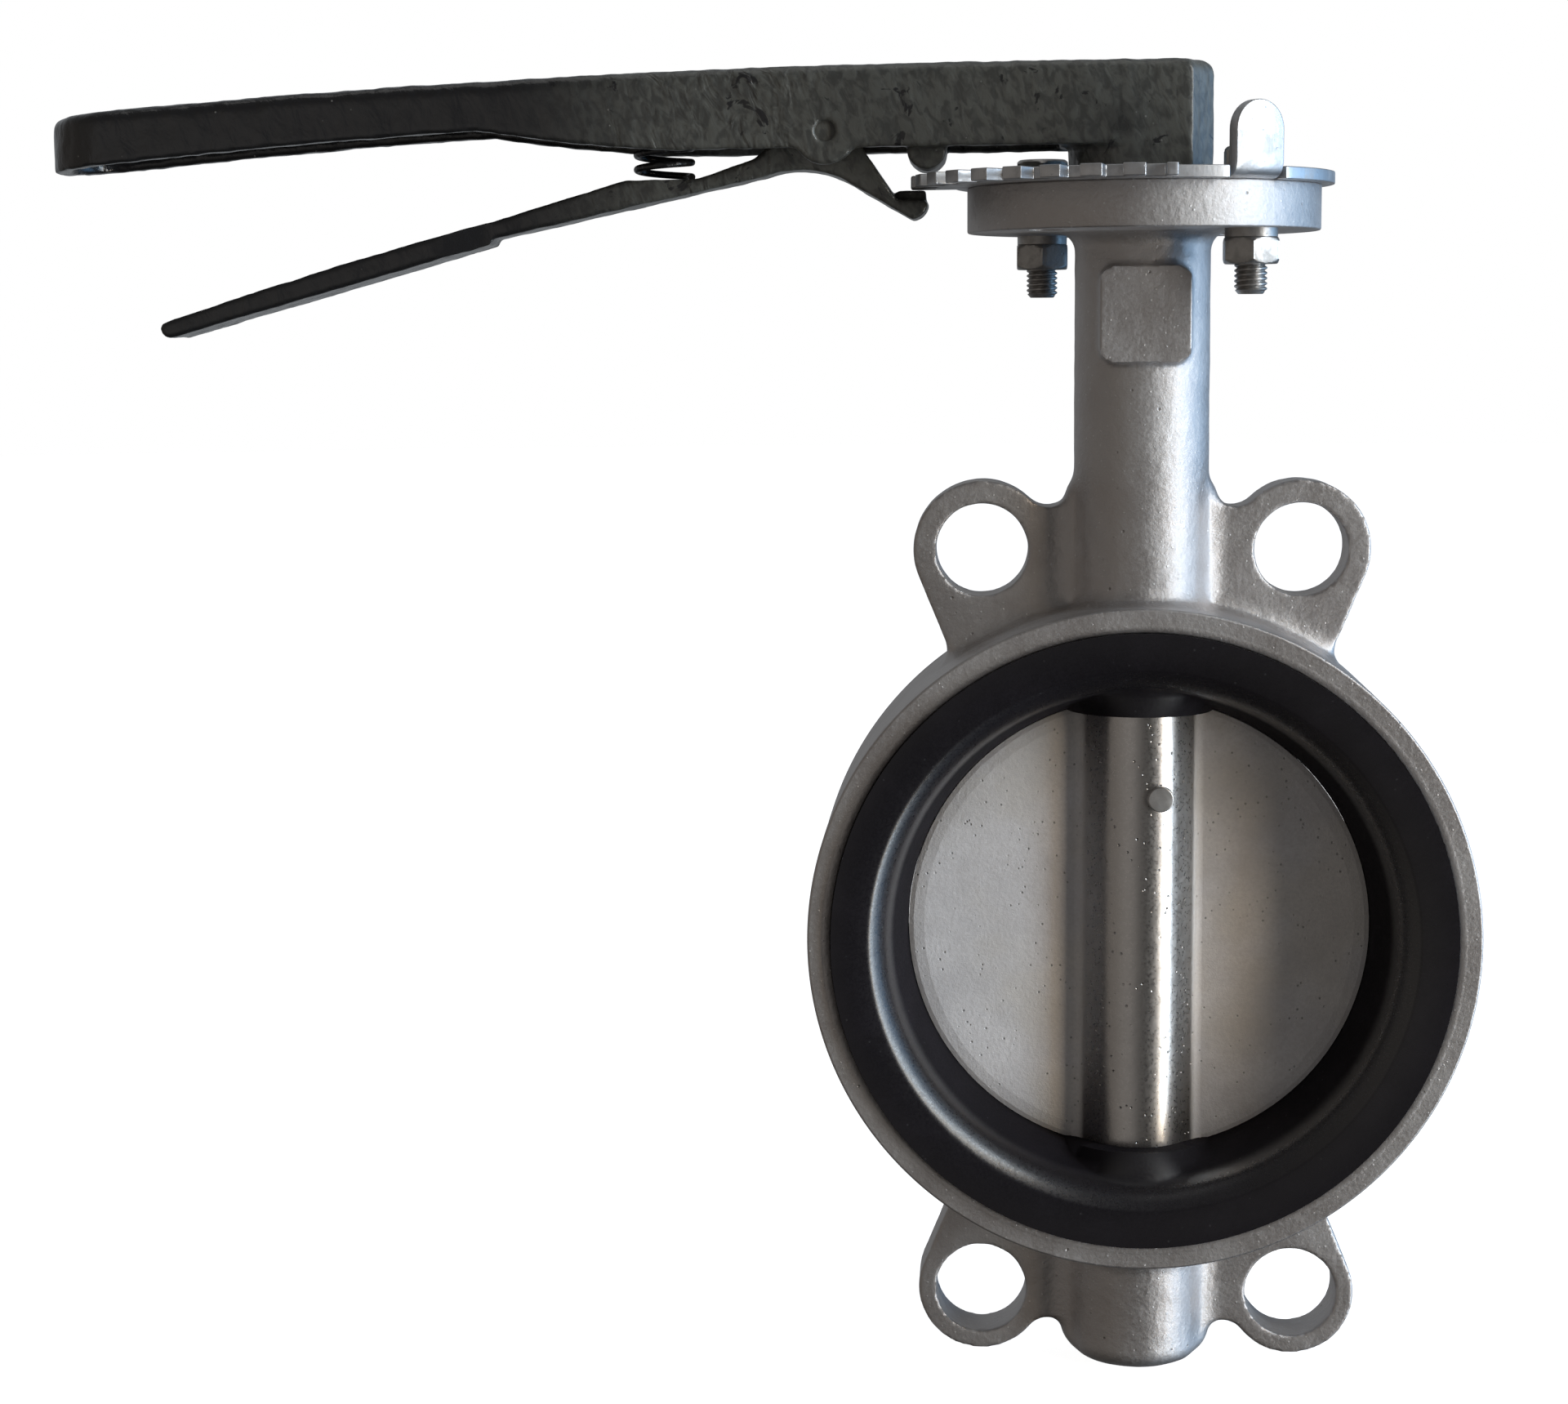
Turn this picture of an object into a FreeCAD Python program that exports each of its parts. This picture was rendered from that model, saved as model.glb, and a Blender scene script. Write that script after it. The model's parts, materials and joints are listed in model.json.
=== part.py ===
"""Wafer butterfly valve with a latching lever, as a parametric FreeCAD document.

Frame: the origin is where the pipe axis meets the stem axis. Y runs along the pipe, Z runs up the
stem, and the closed lever points along -X. Lengths are in millimetres.
"""

import FreeCAD, Part
import math
import os

import Sketcher

V = FreeCAD.Vector

# Driving dimensions. Every one becomes a named cell of the sheet "Sizes".
SIZES = {
    # ring, seat and disc
    "ring_radius": 84.0,
    "ring_half": 26.5,
    "ring_chamfer": 0.8,
    "bore_radius": 71.0,
    "lip_radius": 78.0,
    "lip_thick": 5.5,
    "lip_proud": 1.5,
    "crown_radius": 59.02,
    "crown_half": 10.0,
    "crown_rise": 1.58,
    "mouth_radius": 64.0,
    "mouth_slope": 5.2,
    "mouth_curve": 13.0,
    "flat_height": 56.0,
    "flat_radius": 18.7,
    "flat_spread": 22.0,
    "flat_rise": 9.9,
    "seat_gap": 0.05,
    "disc_rim_half": 2.7,
    "disc_chamfer": 1.2,
    "disc_half": 3.4,
    "disc_shoulder": 3.1,
    "hub_radius": 13.5,
    "hub_fillet": 2.5,
    "hub_sink": 0.02,
    "disc_flat_radius": 55.0,
    # stem and bearings
    "stem_radius": 9.46,
    "stem_gap": 0.04,
    "stem_bottom": 99.9,
    "stem_round_top": 189.0,
    "stem_top": 213.0,
    "stem_edge": 1.0,
    "stem_end_gap": 0.1,
    "square_side": 14.0,
    "bearing_radius": 11.5,
    "pin_height": 34.5,
    "pin_offset": 5.0,
    "pin_front": 3.25,
    "pin_back": 3.0,
    "pin_stick_out": 0.8,
    "pin_length": 27.4,
    "upper_bush_low": 150.0,
    "upper_bush_high": 181.6,
    "middle_bush_low": 88.0,
    "middle_bush_high": 112.0,
    "lower_bush_low": 98.0,
    "lower_bush_high": 76.0,
    "seal_width": 2.4,
    "seal_corner": 0.6,
    "upper_seal_low": 114.0,
    "lower_seal_low": 75.0,
    "washer_radius": 13.6,
    "washer_thick": 1.5,
    "washer_gap": 0.2,
    "snap_radius": 15.0,
    "snap_inner": 12.4,
    "snap_thick": 1.2,
    "snap_opening": 5.0,
    # neck, flange and boss
    "neck_radius": 17.0,
    "neck_fillet": 4.5,
    "flange_radius": 44.0,
    "flange_low": 176.4,
    "flange_top": 187.6,
    "flange_edge": 0.6,
    "flange_bolt_offset": 24.75,
    "flange_hole": 4.5,
    "boss_radius": 17.2,
    "boss_bottom": 114.6,
    "boss_round": 5.0,
    "pad_width": 23.0,
    "pad_low": 144.0,
    "pad_high": 168.0,
    "pad_corner": 4.0,
    "pad_front": 18.2,
    "pad_back": 8.0,
    # centring ears
    "ear_across": 40.18,
    "ear_height": 97.01,
    "upper_ear_radius": 17.5,
    "lower_ear_radius": 16.3,
    "ear_hole": 11.75,
    "flank_length": 34.0,
    "web_thick": 14.0,
    "web_middle": 3.0,
    "web_top": 107.8,
    "web_bottom": 105.0,
    # notch plate
    "plate_thick": 3.0,
    "plate_radius": 47.2,
    "tooth_radius": 58.2,
    "notch_root": 52.0,
    "notch_width": 4.8,
    "notch_length": 10.0,
    "plate_hole": 12.0,
    "tab_width": 14.0,
    "tab_rise": 15.4,
    "tab_bend": 4.0,
    "tab_relief": 1.2,
    # fasteners
    "bolt_radius": 4.0,
    "bolt_length": 30.0,
    "head_thick": 5.3,
    "nut_thick": 6.5,
    "hexagon_radius": 7.5,
    "hexagon_corner": 0.5,
    "hexagon_slope": 1.6,
    "spring_washer_radius": 6.4,
    "spring_washer_thick": 2.1,
    "spring_washer_gap": 0.1,
    "spring_washer_slit": 1.0,
    # handle
    "lever_half_width": 16.5,
    "lever_wall": 4.5,
    "lever_roof": 5.5,
    "lever_gap": 0.3,
    "heel_back": 16.8,
    "heel_chamfer_long": 9.5,
    "heel_chamfer_short": 5.8,
    "heel_front": 21.0,
    "heel_top": 218.0,
    "foot_reach": 18.8,
    "foot_overlap": 1.0,
    "end_reach": 277.0,
    "end_low": 193.0,
    "arch_reach": 166.0,
    "arch_top": 202.4,
    "wall_low_reach": 120.0,
    "wall_low": 197.2,
    "wall_low_heel": 197.6,
    "back_curve": 3050.0,
    "arch_curve": 500.0,
    "grip_curve": 2000.0,
    "lever_edge_round": 3.5,
    "sharp_corner": 0.01,
    "tool_reach": 80.0,
    "lug_reach": 54.0,
    "lug_radius": 4.9,
    "lug_height": 196.8,
    "lug_half_width": 12.0,
    "lug_overlap": 0.5,
    "screw_height": 204.0,
    "screw_radius": 4.0,
    "screw_inset": 1.0,
    "screw_socket": 2.3,
    "screw_socket_depth": 4.0,
    # trigger and spring
    "pivot_reach": 79.0,
    "pivot_height": 201.4,
    "pivot_radius": 2.5,
    "pivot_gap": 0.05,
    "pivot_recess": 1.0,
    "pivot_ear": 8.2,
    "eye_radius": 7.8,
    "eye_side_gap": 0.1,
    "trigger_half_width": 7.0,
    "trigger_grip_half": 10.0,
    "nose_half_width": 2.0,
    "nose_top": 187.2,
    "nose_inner": 54.4,
    "nose_outer": 61.4,
    "nose_height": 2.4,
    "hook_toe": 0.8,
    "hook_low": 179.8,
    "hook_toe_rise": 4.0,
    "hook_toe_curve": 4.6,
    "arm_arch": 26.0,
    "arch_near": 4.0,
    "arch_near_drop": 11.4,
    "arch_far": 16.0,
    "arch_far_drop": 10.6,
    "arm_ramp": 15.0,
    "arm_ramp_rise": 5.0,
    "eye_start": 4.0,
    "eye_start_drop": 1.1,
    "eye_bulge": 0.4,
    "hook_root": 9.0,
    "hook_root_drop": 4.0,
    "grip_reach": 164.0,
    "grip_low": 176.0,
    "grip_high": 180.3,
    "grip_step": 1.3,
    "grip_back_curve": 1400.0,
    "tip_reach": 248.6,
    "tip_high": 155.6,
    "tip_slant": 1.8,
    "tip_thick": 3.8,
    "tip_round": 2.4,
    "spring_reach": 120.5,
    "spring_seat": 190.4,
    "spring_seat_radius": 8.6,
    "spring_seat_thick": 2.4,
    "spring_mean_radius": 6.9,
    "spring_wire": 0.9,
    "spring_pitch": 3.6,
    "spring_low_gap": 0.02,
    "spring_high_gap": 0.35,
}

EAR_ANGLE = 22.5
NOTCH_PITCH = 10.0
FIRST_NOTCH = 180.0
NOTCH_COUNT = 10
SECTOR_MARGIN = 5.0
TAB_ANGLE = -57.5
HUB_TURN = 46.0
FLANK_SLOPE = 45.0
EDGE_TOLERANCE = 0.1

doc = FreeCAD.newDocument("WaferButterflyValve")
sheet = doc.addObject("Spreadsheet::Sheet", "Sizes")


def fill_sheet():
    """Write each driving dimension beside its name and give the cell that name."""
    for row, (name, number) in enumerate(SIZES.items(), start=1):
        sheet.set(f"A{row}", name)
        sheet.set(f"B{row}", str(number))
        sheet.setAlias(f"B{row}", name)
    doc.recompute()


class Size:
    """A length that carries its number together with the sheet expression that gives it."""

    def __init__(self, text, number):
        self.text = text
        self.number = number

    def __add__(self, other):
        other = size(other)
        return Size(f"({self.text} + {other.text})", self.number + other.number)

    def __sub__(self, other):
        other = size(other)
        return Size(f"({self.text} - {other.text})", self.number - other.number)

    def __mul__(self, other):
        other = size(other)
        return Size(f"({self.text} * {other.text})", self.number * other.number)

    def __truediv__(self, other):
        other = size(other)
        return Size(f"({self.text} / {other.text})", self.number / other.number)

    def __neg__(self):
        return Size(f"(0 - {self.text})", -self.number)

    __radd__ = __add__
    __rmul__ = __mul__

    def __rsub__(self, other):
        return size(other) - self


def size(item):
    """Turn a cell name or a plain number into a Size."""
    if isinstance(item, Size):
        return item
    if isinstance(item, str):
        return Size(f"Sizes.{item}", SIZES[item])
    return Size(repr(float(item)), float(item))


def root(item):
    """Square root of a Size."""
    return Size(f"sqrt({item.text})", math.sqrt(item.number))


def bind(obj, **properties):
    """Bind properties of an object to sizes; a double underscore stands for a dot."""
    for path, item in properties.items():
        obj.setExpression(path.replace("__", "."), size(item).text)
    return obj


def place(obj, x=0, y=0, z=0, turn=None):
    """Turn an object and bind where it stands."""
    obj.Placement = FreeCAD.Placement(V(0, 0, 0), turn or FreeCAD.Rotation())
    for axis, item in (("x", x), ("y", y), ("z", z)):
        obj.setExpression(f"Placement.Base.{axis}", size(item).text)
    return obj


ALONG_X = FreeCAD.Rotation(V(0, 1, 0), 90)
ALONG_Y = FreeCAD.Rotation(V(1, 0, 0), -90)


def rod(name, radius, length, x=0, y=0, z=0, turn=None):
    """A cylinder that starts at x, y, z and runs along Z, or along the turned axis."""
    obj = bind(doc.addObject("Part::Cylinder", name), Radius=radius, Height=length)
    return place(obj, x, y, z, turn)


def block(name, length, width, height, x=0, y=0, z=0, turn=None):
    """A box whose low corner is at x, y, z."""
    obj = bind(doc.addObject("Part::Box", name), Length=length, Width=width, Height=height)
    return place(obj, x, y, z, turn)


def cone(name, first, last, length, x=0, y=0, z=0, turn=None):
    """A cone or tapered rod from radius first to radius last."""
    obj = bind(doc.addObject("Part::Cone", name), Radius1=first, Radius2=last, Height=length)
    return place(obj, x, y, z, turn)


def prism(name, radius, length, x=0, y=0, z=0):
    """A hexagonal prism standing on Z."""
    obj = bind(doc.addObject("Part::Prism", name), Circumradius=radius, Height=length)
    obj.Polygon = 6
    return place(obj, x, y, z)


def fuse(name, *parts):
    """Join parts into one solid."""
    obj = doc.addObject("Part::MultiFuse", name)
    obj.Shapes = list(parts)
    obj.Refine = True
    return obj


def common(name, *parts):
    """Keep only what all the parts share."""
    obj = doc.addObject("Part::MultiCommon", name)
    obj.Shapes = list(parts)
    return obj


def cut(name, base, *tools):
    """Cut the tools from the base, one after the other in a single cut."""
    obj = doc.addObject("Part::Cut", name)
    obj.Base = base
    obj.Tool = tools[0] if len(tools) == 1 else fuse(name + "Tools", *tools)
    return obj


def round_edges(name, base, radius, wanted):
    """Round the edges of base that the test function wanted picks."""
    doc.recompute()
    obj = doc.addObject("Part::Fillet", name)
    obj.Base = base
    edges = enumerate(base.Shape.Edges, start=1)
    number = size(radius).number
    obj.Edges = [(index, number, number) for index, edge in edges if wanted(edge)]
    return obj


def arc_between(start, end, radius):
    """The short arc from start to end, turning left for a positive radius, right for a negative."""
    reach = end - start
    half = reach.Length / 2
    away = math.sqrt(max(radius * radius - half * half, 0.0))
    left = V(-reach.y, reach.x, 0).normalize()
    centre = (start + end) * 0.5 + left * math.copysign(away, radius)
    first, last = (start, end) if radius > 0 else (end, start)
    begin = math.atan2(first.y - centre.y, first.x - centre.x)
    stop = math.atan2(last.y - centre.y, last.x - centre.x)
    circle = Part.Circle(centre, V(0, 0, 1), abs(radius))
    return Part.ArcOfCircle(circle, begin, stop if stop > begin else stop + 2 * math.pi)


def pin_vertex(sketch, curve, end, across, along):
    """Bind one end of a sketch curve to its two coordinates."""
    for kind, item, axis in (("DistanceX", across, -2), ("DistanceY", along, -1)):
        if item.number == 0:
            sketch.addConstraint(Sketcher.Constraint("PointOnObject", curve, end, axis))
            continue
        index = sketch.addConstraint(Sketcher.Constraint(kind, -1, 1, curve, end, item.number))
        sketch.setExpression(f"Constraints[{index}]", item.text)


def draw(sketch, corners):
    """Draw a closed outline. A corner is (across, along) or, reached by an arc, (across, along, radius)."""
    corners = [tuple(size(item) for item in corner) for corner in corners]
    points = [V(corner[0].number, corner[1].number, 0) for corner in corners]
    ends = []
    for index, corner in enumerate(corners):
        start, end = points[index - 1], points[index]
        if len(corner) == 2:
            ends.append((sketch.addGeometry(Part.LineSegment(start, end)), 1, 2))
            continue
        curve = sketch.addGeometry(arc_between(start, end, corner[2].number))
        backwards = corner[2].number < 0
        ends.append((curve, 2, 1) if backwards else (curve, 1, 2))
    for index, (curve, first, last) in enumerate(ends):
        following = ends[(index + 1) % len(ends)]
        sketch.addConstraint(Sketcher.Constraint("Coincident", curve, last, following[0], following[1]))
        pin_vertex(sketch, curve, last, corners[index][0], corners[index][1])
    for index, corner in enumerate(corners):
        if len(corner) == 3:
            radius = -corner[2] if corner[2].number < 0 else corner[2]
            number = sketch.addConstraint(Sketcher.Constraint("Radius", ends[index][0], radius.number))
            sketch.setExpression(f"Constraints[{number}]", radius.text)


def sketched(name, plane, corners):
    """A new body with one closed sketch on the named origin plane."""
    body = doc.addObject("PartDesign::Body", name)
    sketch = body.newObject("Sketcher::SketchObject", name + "Sketch")
    support = [item for item in body.Origin.OriginFeatures if item.Role == plane]
    sketch.AttachmentSupport = [(support[0], "")]
    sketch.MapMode = "FlatFace"
    draw(sketch, corners)
    return body, sketch


def pad(name, plane, corners, length, x=0, y=0, z=0, turn=None):
    """A plate of the given outline, padded to both sides of its plane."""
    body, sketch = sketched(name, plane, corners)
    feature = body.newObject("PartDesign::Pad", name + "Pad")
    feature.Profile = sketch
    feature.SideType = "Symmetric"
    bind(feature, Length=length)
    return place(body, x, y, z, turn)


def turned(name, plane, corners):
    """A solid of revolution round the sketch's own vertical axis: corners are (radius, height)."""
    body, sketch = sketched(name, plane, corners)
    feature = body.newObject("PartDesign::Revolution", name + "Turn")
    feature.Profile = sketch
    feature.ReferenceAxis = (sketch, ["V_Axis"])
    feature.Angle = 360
    return body


def tube(name, outer, inner, low, length):
    """A plain round tube on the stem axis."""
    outside = rod(name + "Outside", outer, length, z=low)
    inside = rod(name + "Inside", inner, length, z=low)
    return cut(name, outside, inside)


# ---------------------------------------------------------------- body, seat and disc


def ring():
    """The ring: two machined faces with a recess for each seat lip."""
    half = size("ring_half")
    floor = half + "lip_proud" - "lip_thick"
    edge = size("ring_chamfer")
    outside = size("ring_radius")
    return turned("Ring", "XY_Plane", [
        ("bore_radius", -floor),
        ("lip_radius", -floor),
        ("lip_radius", -half),
        (outside - edge, -half),
        (outside, edge - half),
        (outside, half - edge),
        (outside - edge, half),
        ("lip_radius", half),
        ("lip_radius", floor),
        ("bore_radius", floor),
    ])


def web(name, saddle, inner_radius, lobe, side):
    """The plate that carries two ears, with a hollow saddle between each ear and the neck."""
    across = size("ear_across")
    height = size("ear_height")
    lobe = size(lobe)
    gap = across - inner_radius
    rise = size(saddle) - height
    sum_term = gap - rise + lobe
    square_term = gap * gap + rise * rise - lobe * lobe
    hollow = sum_term - root(sum_term * sum_term - square_term)
    centre_across = size(inner_radius) + hollow
    centre_height = size(saddle) + hollow
    share = lobe / (lobe + hollow)
    touch_across = across + (centre_across - across) * share
    touch_height = height + (centre_height - height) * share
    cosine = math.cos(math.radians(EAR_ANGLE))
    sine = math.sin(math.radians(EAR_ANGLE))
    flank_across = across + lobe * cosine
    flank_height = height - lobe * sine
    foot_across = flank_across - size("flank_length") * sine
    foot_height = flank_height - size("flank_length") * cosine
    return pad(name, "XZ_Plane", [
        (-foot_across, foot_height * side),
        (-flank_across, flank_height * side),
        (-touch_across, touch_height * side, -lobe * side),
        (-size(inner_radius), centre_height * side, hollow * side),
        (inner_radius, centre_height * side),
        (touch_across, touch_height * side, hollow * side),
        (flank_across, flank_height * side, -lobe * side),
        (foot_across, foot_height * side),
    ], "web_thick", y="web_middle")


def neck():
    """The neck and the top flange in one turned piece, with the fillet under the flange."""
    low = size("flange_low")
    high = size("flange_top")
    edge = size("flange_edge")
    radius = size("neck_radius")
    fillet = size("neck_fillet")
    wide = size("flange_radius")
    return turned("Neck", "XZ_Plane", [
        (0, "mouth_radius"),
        (radius, "mouth_radius"),
        (radius, low - fillet),
        (radius + fillet, low, -fillet),
        (wide - edge, low),
        (wide, low + edge),
        (wide, high - edge),
        (wide - edge, high),
        (0, high),
    ])


def boss():
    """The blind boss under the ring, rounded at its lower rim."""
    radius = size("boss_radius")
    fillet = size("boss_round")
    low = -size("boss_bottom")
    return turned("Boss", "XZ_Plane", [
        (0, low),
        (radius - fillet, low),
        (radius, low + fillet, fillet),
        (radius, -size("mouth_radius")),
        (0, -size("mouth_radius")),
    ])


def rounded_rectangle(half, low, high, corner):
    """Corners of an upright rectangle with four quarter-round corners."""
    half, low, high, corner = size(half), size(low), size(high), size(corner)
    return [
        (half - corner, low),
        (half, low + corner, corner),
        (half, high - corner),
        (half - corner, high, corner),
        (corner - half, high),
        (-half, high - corner, corner),
        (-half, low + corner),
        (corner - half, low, corner),
    ]


def marking_pad():
    """The flat blank pad on the front of the neck."""
    outline = rounded_rectangle(size("pad_width") / 2, "pad_low", "pad_high", "pad_corner")
    depth = size("pad_front") - "pad_back"
    return pad("MarkingPad", "XZ_Plane", outline, depth, y=-(size("pad_front") + "pad_back") / 2)


def four_corners():
    """Signs of the four quadrants."""
    return [(a, b) for a in (-1, 1) for b in (-1, 1)]


def body_part():
    """The valve body: castings joined first, then every bore and hole."""
    solid = fuse(
        "BodySolid", ring(), neck(), boss(), marking_pad(),
        web("UpperWeb", "web_top", "neck_radius", "upper_ear_radius", 1),
        web("LowerWeb", "web_bottom", "boss_radius", "lower_ear_radius", -1),
    )
    half = size("ring_half")
    stem_end = size("stem_bottom") + "stem_end_gap"
    tools = [
        rod("MainBore", "bore_radius", half * 2, y=-half, turn=ALONG_Y),
        rod("UpperStemBore", "bearing_radius", size("flange_top") - "crown_radius", z="crown_radius"),
        rod("LowerStemBore", "bearing_radius", stem_end - "crown_radius", z=-stem_end),
        rod("Counterbore", "washer_radius", size("flange_top") - "upper_bush_high",
            z="upper_bush_high"),
        rod("SnapGroove", "snap_radius", "snap_thick",
            z=size("upper_bush_high") + "washer_thick"),
    ]
    for index, (a, b) in enumerate(four_corners()):
        tools.append(rod(f"EarHole{index}", "ear_hole", "web_thick", size("ear_across") * a,
                         size("web_middle") - size("web_thick") / 2, size("ear_height") * b,
                         ALONG_Y))
        tools.append(rod(f"FlangeHole{index}", "flange_hole",
                         size("flange_top") - "flange_low", size("flange_bolt_offset") * a,
                         size("flange_bolt_offset") * b, "flange_low"))
    return cut("body", solid, *tools)


def seat_part():
    """The rubber seat: a bored liner with two face lips and a flat round each stem hole."""
    half = size("ring_half") + "lip_proud"
    floor = half - "lip_thick"
    mouth = size("mouth_radius")
    slope = size("mouth_slope")
    crown = size("crown_half")
    shoulder = size("crown_radius") + "crown_rise"
    crown_curve = (crown * crown + size("crown_rise") * "crown_rise") / (size("crown_rise") * 2)
    liner = turned("SeatLiner", "XY_Plane", [
        ("bore_radius", floor),
        ("lip_radius", floor),
        ("lip_radius", half),
        (mouth + slope, half),
        (mouth, half - slope, "mouth_curve"),
        (shoulder, crown),
        (shoulder, -crown, crown_curve),
        (mouth, slope - half),
        (mouth + slope, -half, "mouth_curve"),
        ("lip_radius", -half),
        ("lip_radius", -floor),
        ("bore_radius", -floor),
    ])
    low = size("flat_height")
    rise = size("flat_rise")
    upper = cone("UpperFlat", "flat_radius", "flat_spread", rise, z=low)
    lower = cone("LowerFlat", "flat_spread", "flat_radius", rise, z=-(low + rise))
    hole = size("stem_radius") + "stem_gap"
    bore = rod("SeatStemHole", hole, size("bore_radius") * 2, z=-size("bore_radius"))
    whole = fuse("SeatSolid", liner, upper, lower)
    return cut("seat_liner", whole, bore)


def hub():
    """The hub of the disc: a round rib with straight flanks down to both faces of the plate."""
    radius = size("hub_radius")
    fillet = size("hub_fillet")
    face = size("disc_half") - "hub_sink"
    turn, slope = math.radians(HUB_TURN), math.radians(FLANK_SLOPE)
    touch_x = radius * math.sin(turn)
    touch_y = radius * math.cos(turn)
    foot_x = touch_x + (touch_y - face) / math.tan(slope)
    reach = fillet * math.tan(slope / 2)
    rise_x = foot_x - reach * math.cos(slope)
    rise_y = face + reach * math.sin(slope)
    front = [
        (-(foot_x + reach), -face),
        (-rise_x, -rise_y, -fillet),
        (-touch_x, -touch_y),
        (0, -radius, radius),
        (touch_x, -touch_y, radius),
        (rise_x, -rise_y),
        (foot_x + reach, -face, -fillet),
    ]
    back = [(-x, -y, *curve) for x, y, *curve in front]
    return pad("Hub", "XY_Plane", front + back, size("crown_radius") * 2)


def pin_hole(name):
    """The tapered hole or pin through the front of the hub, beside the stem axis."""
    start = -(size("hub_radius") + "pin_stick_out")
    return cone(name, "pin_front", "pin_back", "pin_length", "pin_offset", start,
                "pin_height", ALONG_Y)


def disc_part():
    """The disc: a plate with a spherical rim, cut flat top and bottom, on a full-height hub."""
    rim = size("crown_radius") - "seat_gap"
    half = size("disc_rim_half")
    shoulder = size("disc_shoulder")
    rim_radius = root(rim * rim - half * half)
    plate = turned("DiscPlate", "XY_Plane", [
        (0, -size("disc_half")),
        ("disc_flat_radius", -size("disc_half")),
        (rim_radius - "disc_chamfer", -shoulder),
        (rim_radius, -half),
        (rim_radius, half, rim),
        (rim_radius - "disc_chamfer", shoulder),
        ("disc_flat_radius", "disc_half"),
        (0, "disc_half"),
    ])
    flat = size("flat_height") - "seat_gap"
    room = block("DiscRoom", rim * 2, rim * 2, flat * 2, -rim, -rim, -flat)
    whole = common("DiscSolid", fuse("DiscBlank", plate, hub()), room)
    bore = rod("DiscBore", "stem_radius", flat * 2, z=-flat)
    return cut("disc", whole, bore, pin_hole("DiscPinHole"))


# ---------------------------------------------------------------- stem, bearings and seals


def stem_part():
    """The stem: round up to the notch plate, then square inside the handle."""
    radius = size("stem_radius")
    low = -size("stem_bottom")
    edge = size("stem_edge")
    shaft = turned("StemShaft", "XZ_Plane", [
        (0, low),
        (radius - edge, low),
        (radius, low + edge),
        (radius, size("stem_round_top") - edge),
        (radius - edge, "stem_round_top"),
        (0, "stem_round_top"),
    ])
    side = size("square_side")
    bottom = size("stem_round_top") - edge
    square = block("StemSquare", side, side, size("stem_top") - bottom, -side / 2, -side / 2, bottom)
    whole = fuse("StemSolid", shaft, square)
    return cut("stem", whole, pin_hole("StemPinHole"))


def bearings():
    """Three plain bushings that carry the stem."""
    inner = size("stem_radius") + "stem_gap"
    outer = size("bearing_radius")
    spans = {
        "upper_bushing": (size("upper_bush_low"), size("upper_bush_high")),
        "middle_bushing": (size("middle_bush_low"), size("middle_bush_high")),
        "lower_bushing": (-size("lower_bush_low"), -size("lower_bush_high")),
    }
    return [tube(name, outer, inner, low, high - low) for name, (low, high) in spans.items()]


def seal(name, low):
    """An O-ring as fitted: squeezed flat where it meets the bore, with rounded corners."""
    inner = size("stem_radius") + "stem_gap"
    outer = size("bearing_radius")
    corner = size("seal_corner")
    low = size(low)
    high = low + "seal_width"
    return turned(name, "XZ_Plane", [
        (outer - corner, low),
        (outer, low + corner, corner),
        (outer, high - corner),
        (outer - corner, high, corner),
        (inner + corner, high),
        (inner, high - corner, corner),
        (inner, low + corner),
        (inner + corner, low, corner),
    ])


def retainers():
    """The washer on the upper bushing and the snap ring that holds it down."""
    inner = size("stem_radius") + "washer_gap"
    low = size("upper_bush_high")
    washer = tube("thrust_washer", "washer_radius", inner, low, "washer_thick")
    top = low + "washer_thick"
    ring_blank = tube("SnapBlank", "snap_radius", "snap_inner", top, "snap_thick")
    opening = size("snap_opening")
    gap = block("SnapOpening", "snap_radius", opening, "snap_thick", 0, -opening / 2, top)
    return [washer, cut("retaining_ring", ring_blank, gap)]


# ---------------------------------------------------------------- notch plate and fasteners


def stop_tab():
    """The stop tab: a tongue bent up at the rim, with a round top."""
    low = size("flange_top")
    thick = size("plate_thick")
    outside = size("plate_radius")
    inside = outside - thick
    bend = size("tab_bend")
    top = low + thick + "tab_rise"
    seat_line = inside - bend
    inner_bend = bend - thick
    turn = FreeCAD.Rotation(V(0, 0, 1), TAB_ANGLE)
    tongue = pad("TabTongue", "XZ_Plane", [
        (seat_line, low),
        (outside - bend, low),
        (outside, low + bend, bend),
        (outside, top),
        (inside, top),
        (inside, low + bend),
        (inside - inner_bend, low + thick, -inner_bend),
        (seat_line, low + thick),
    ], "tab_width", turn=turn)
    half = size("tab_width") / 2
    shape = pad("TabShape", "YZ_Plane", [
        (-half, low),
        (half, low),
        (half, top - half),
        (0, top, half),
        (-half, top - half, half),
    ], outside * 2, turn=turn)
    return common("Tab", tongue, shape)


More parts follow.
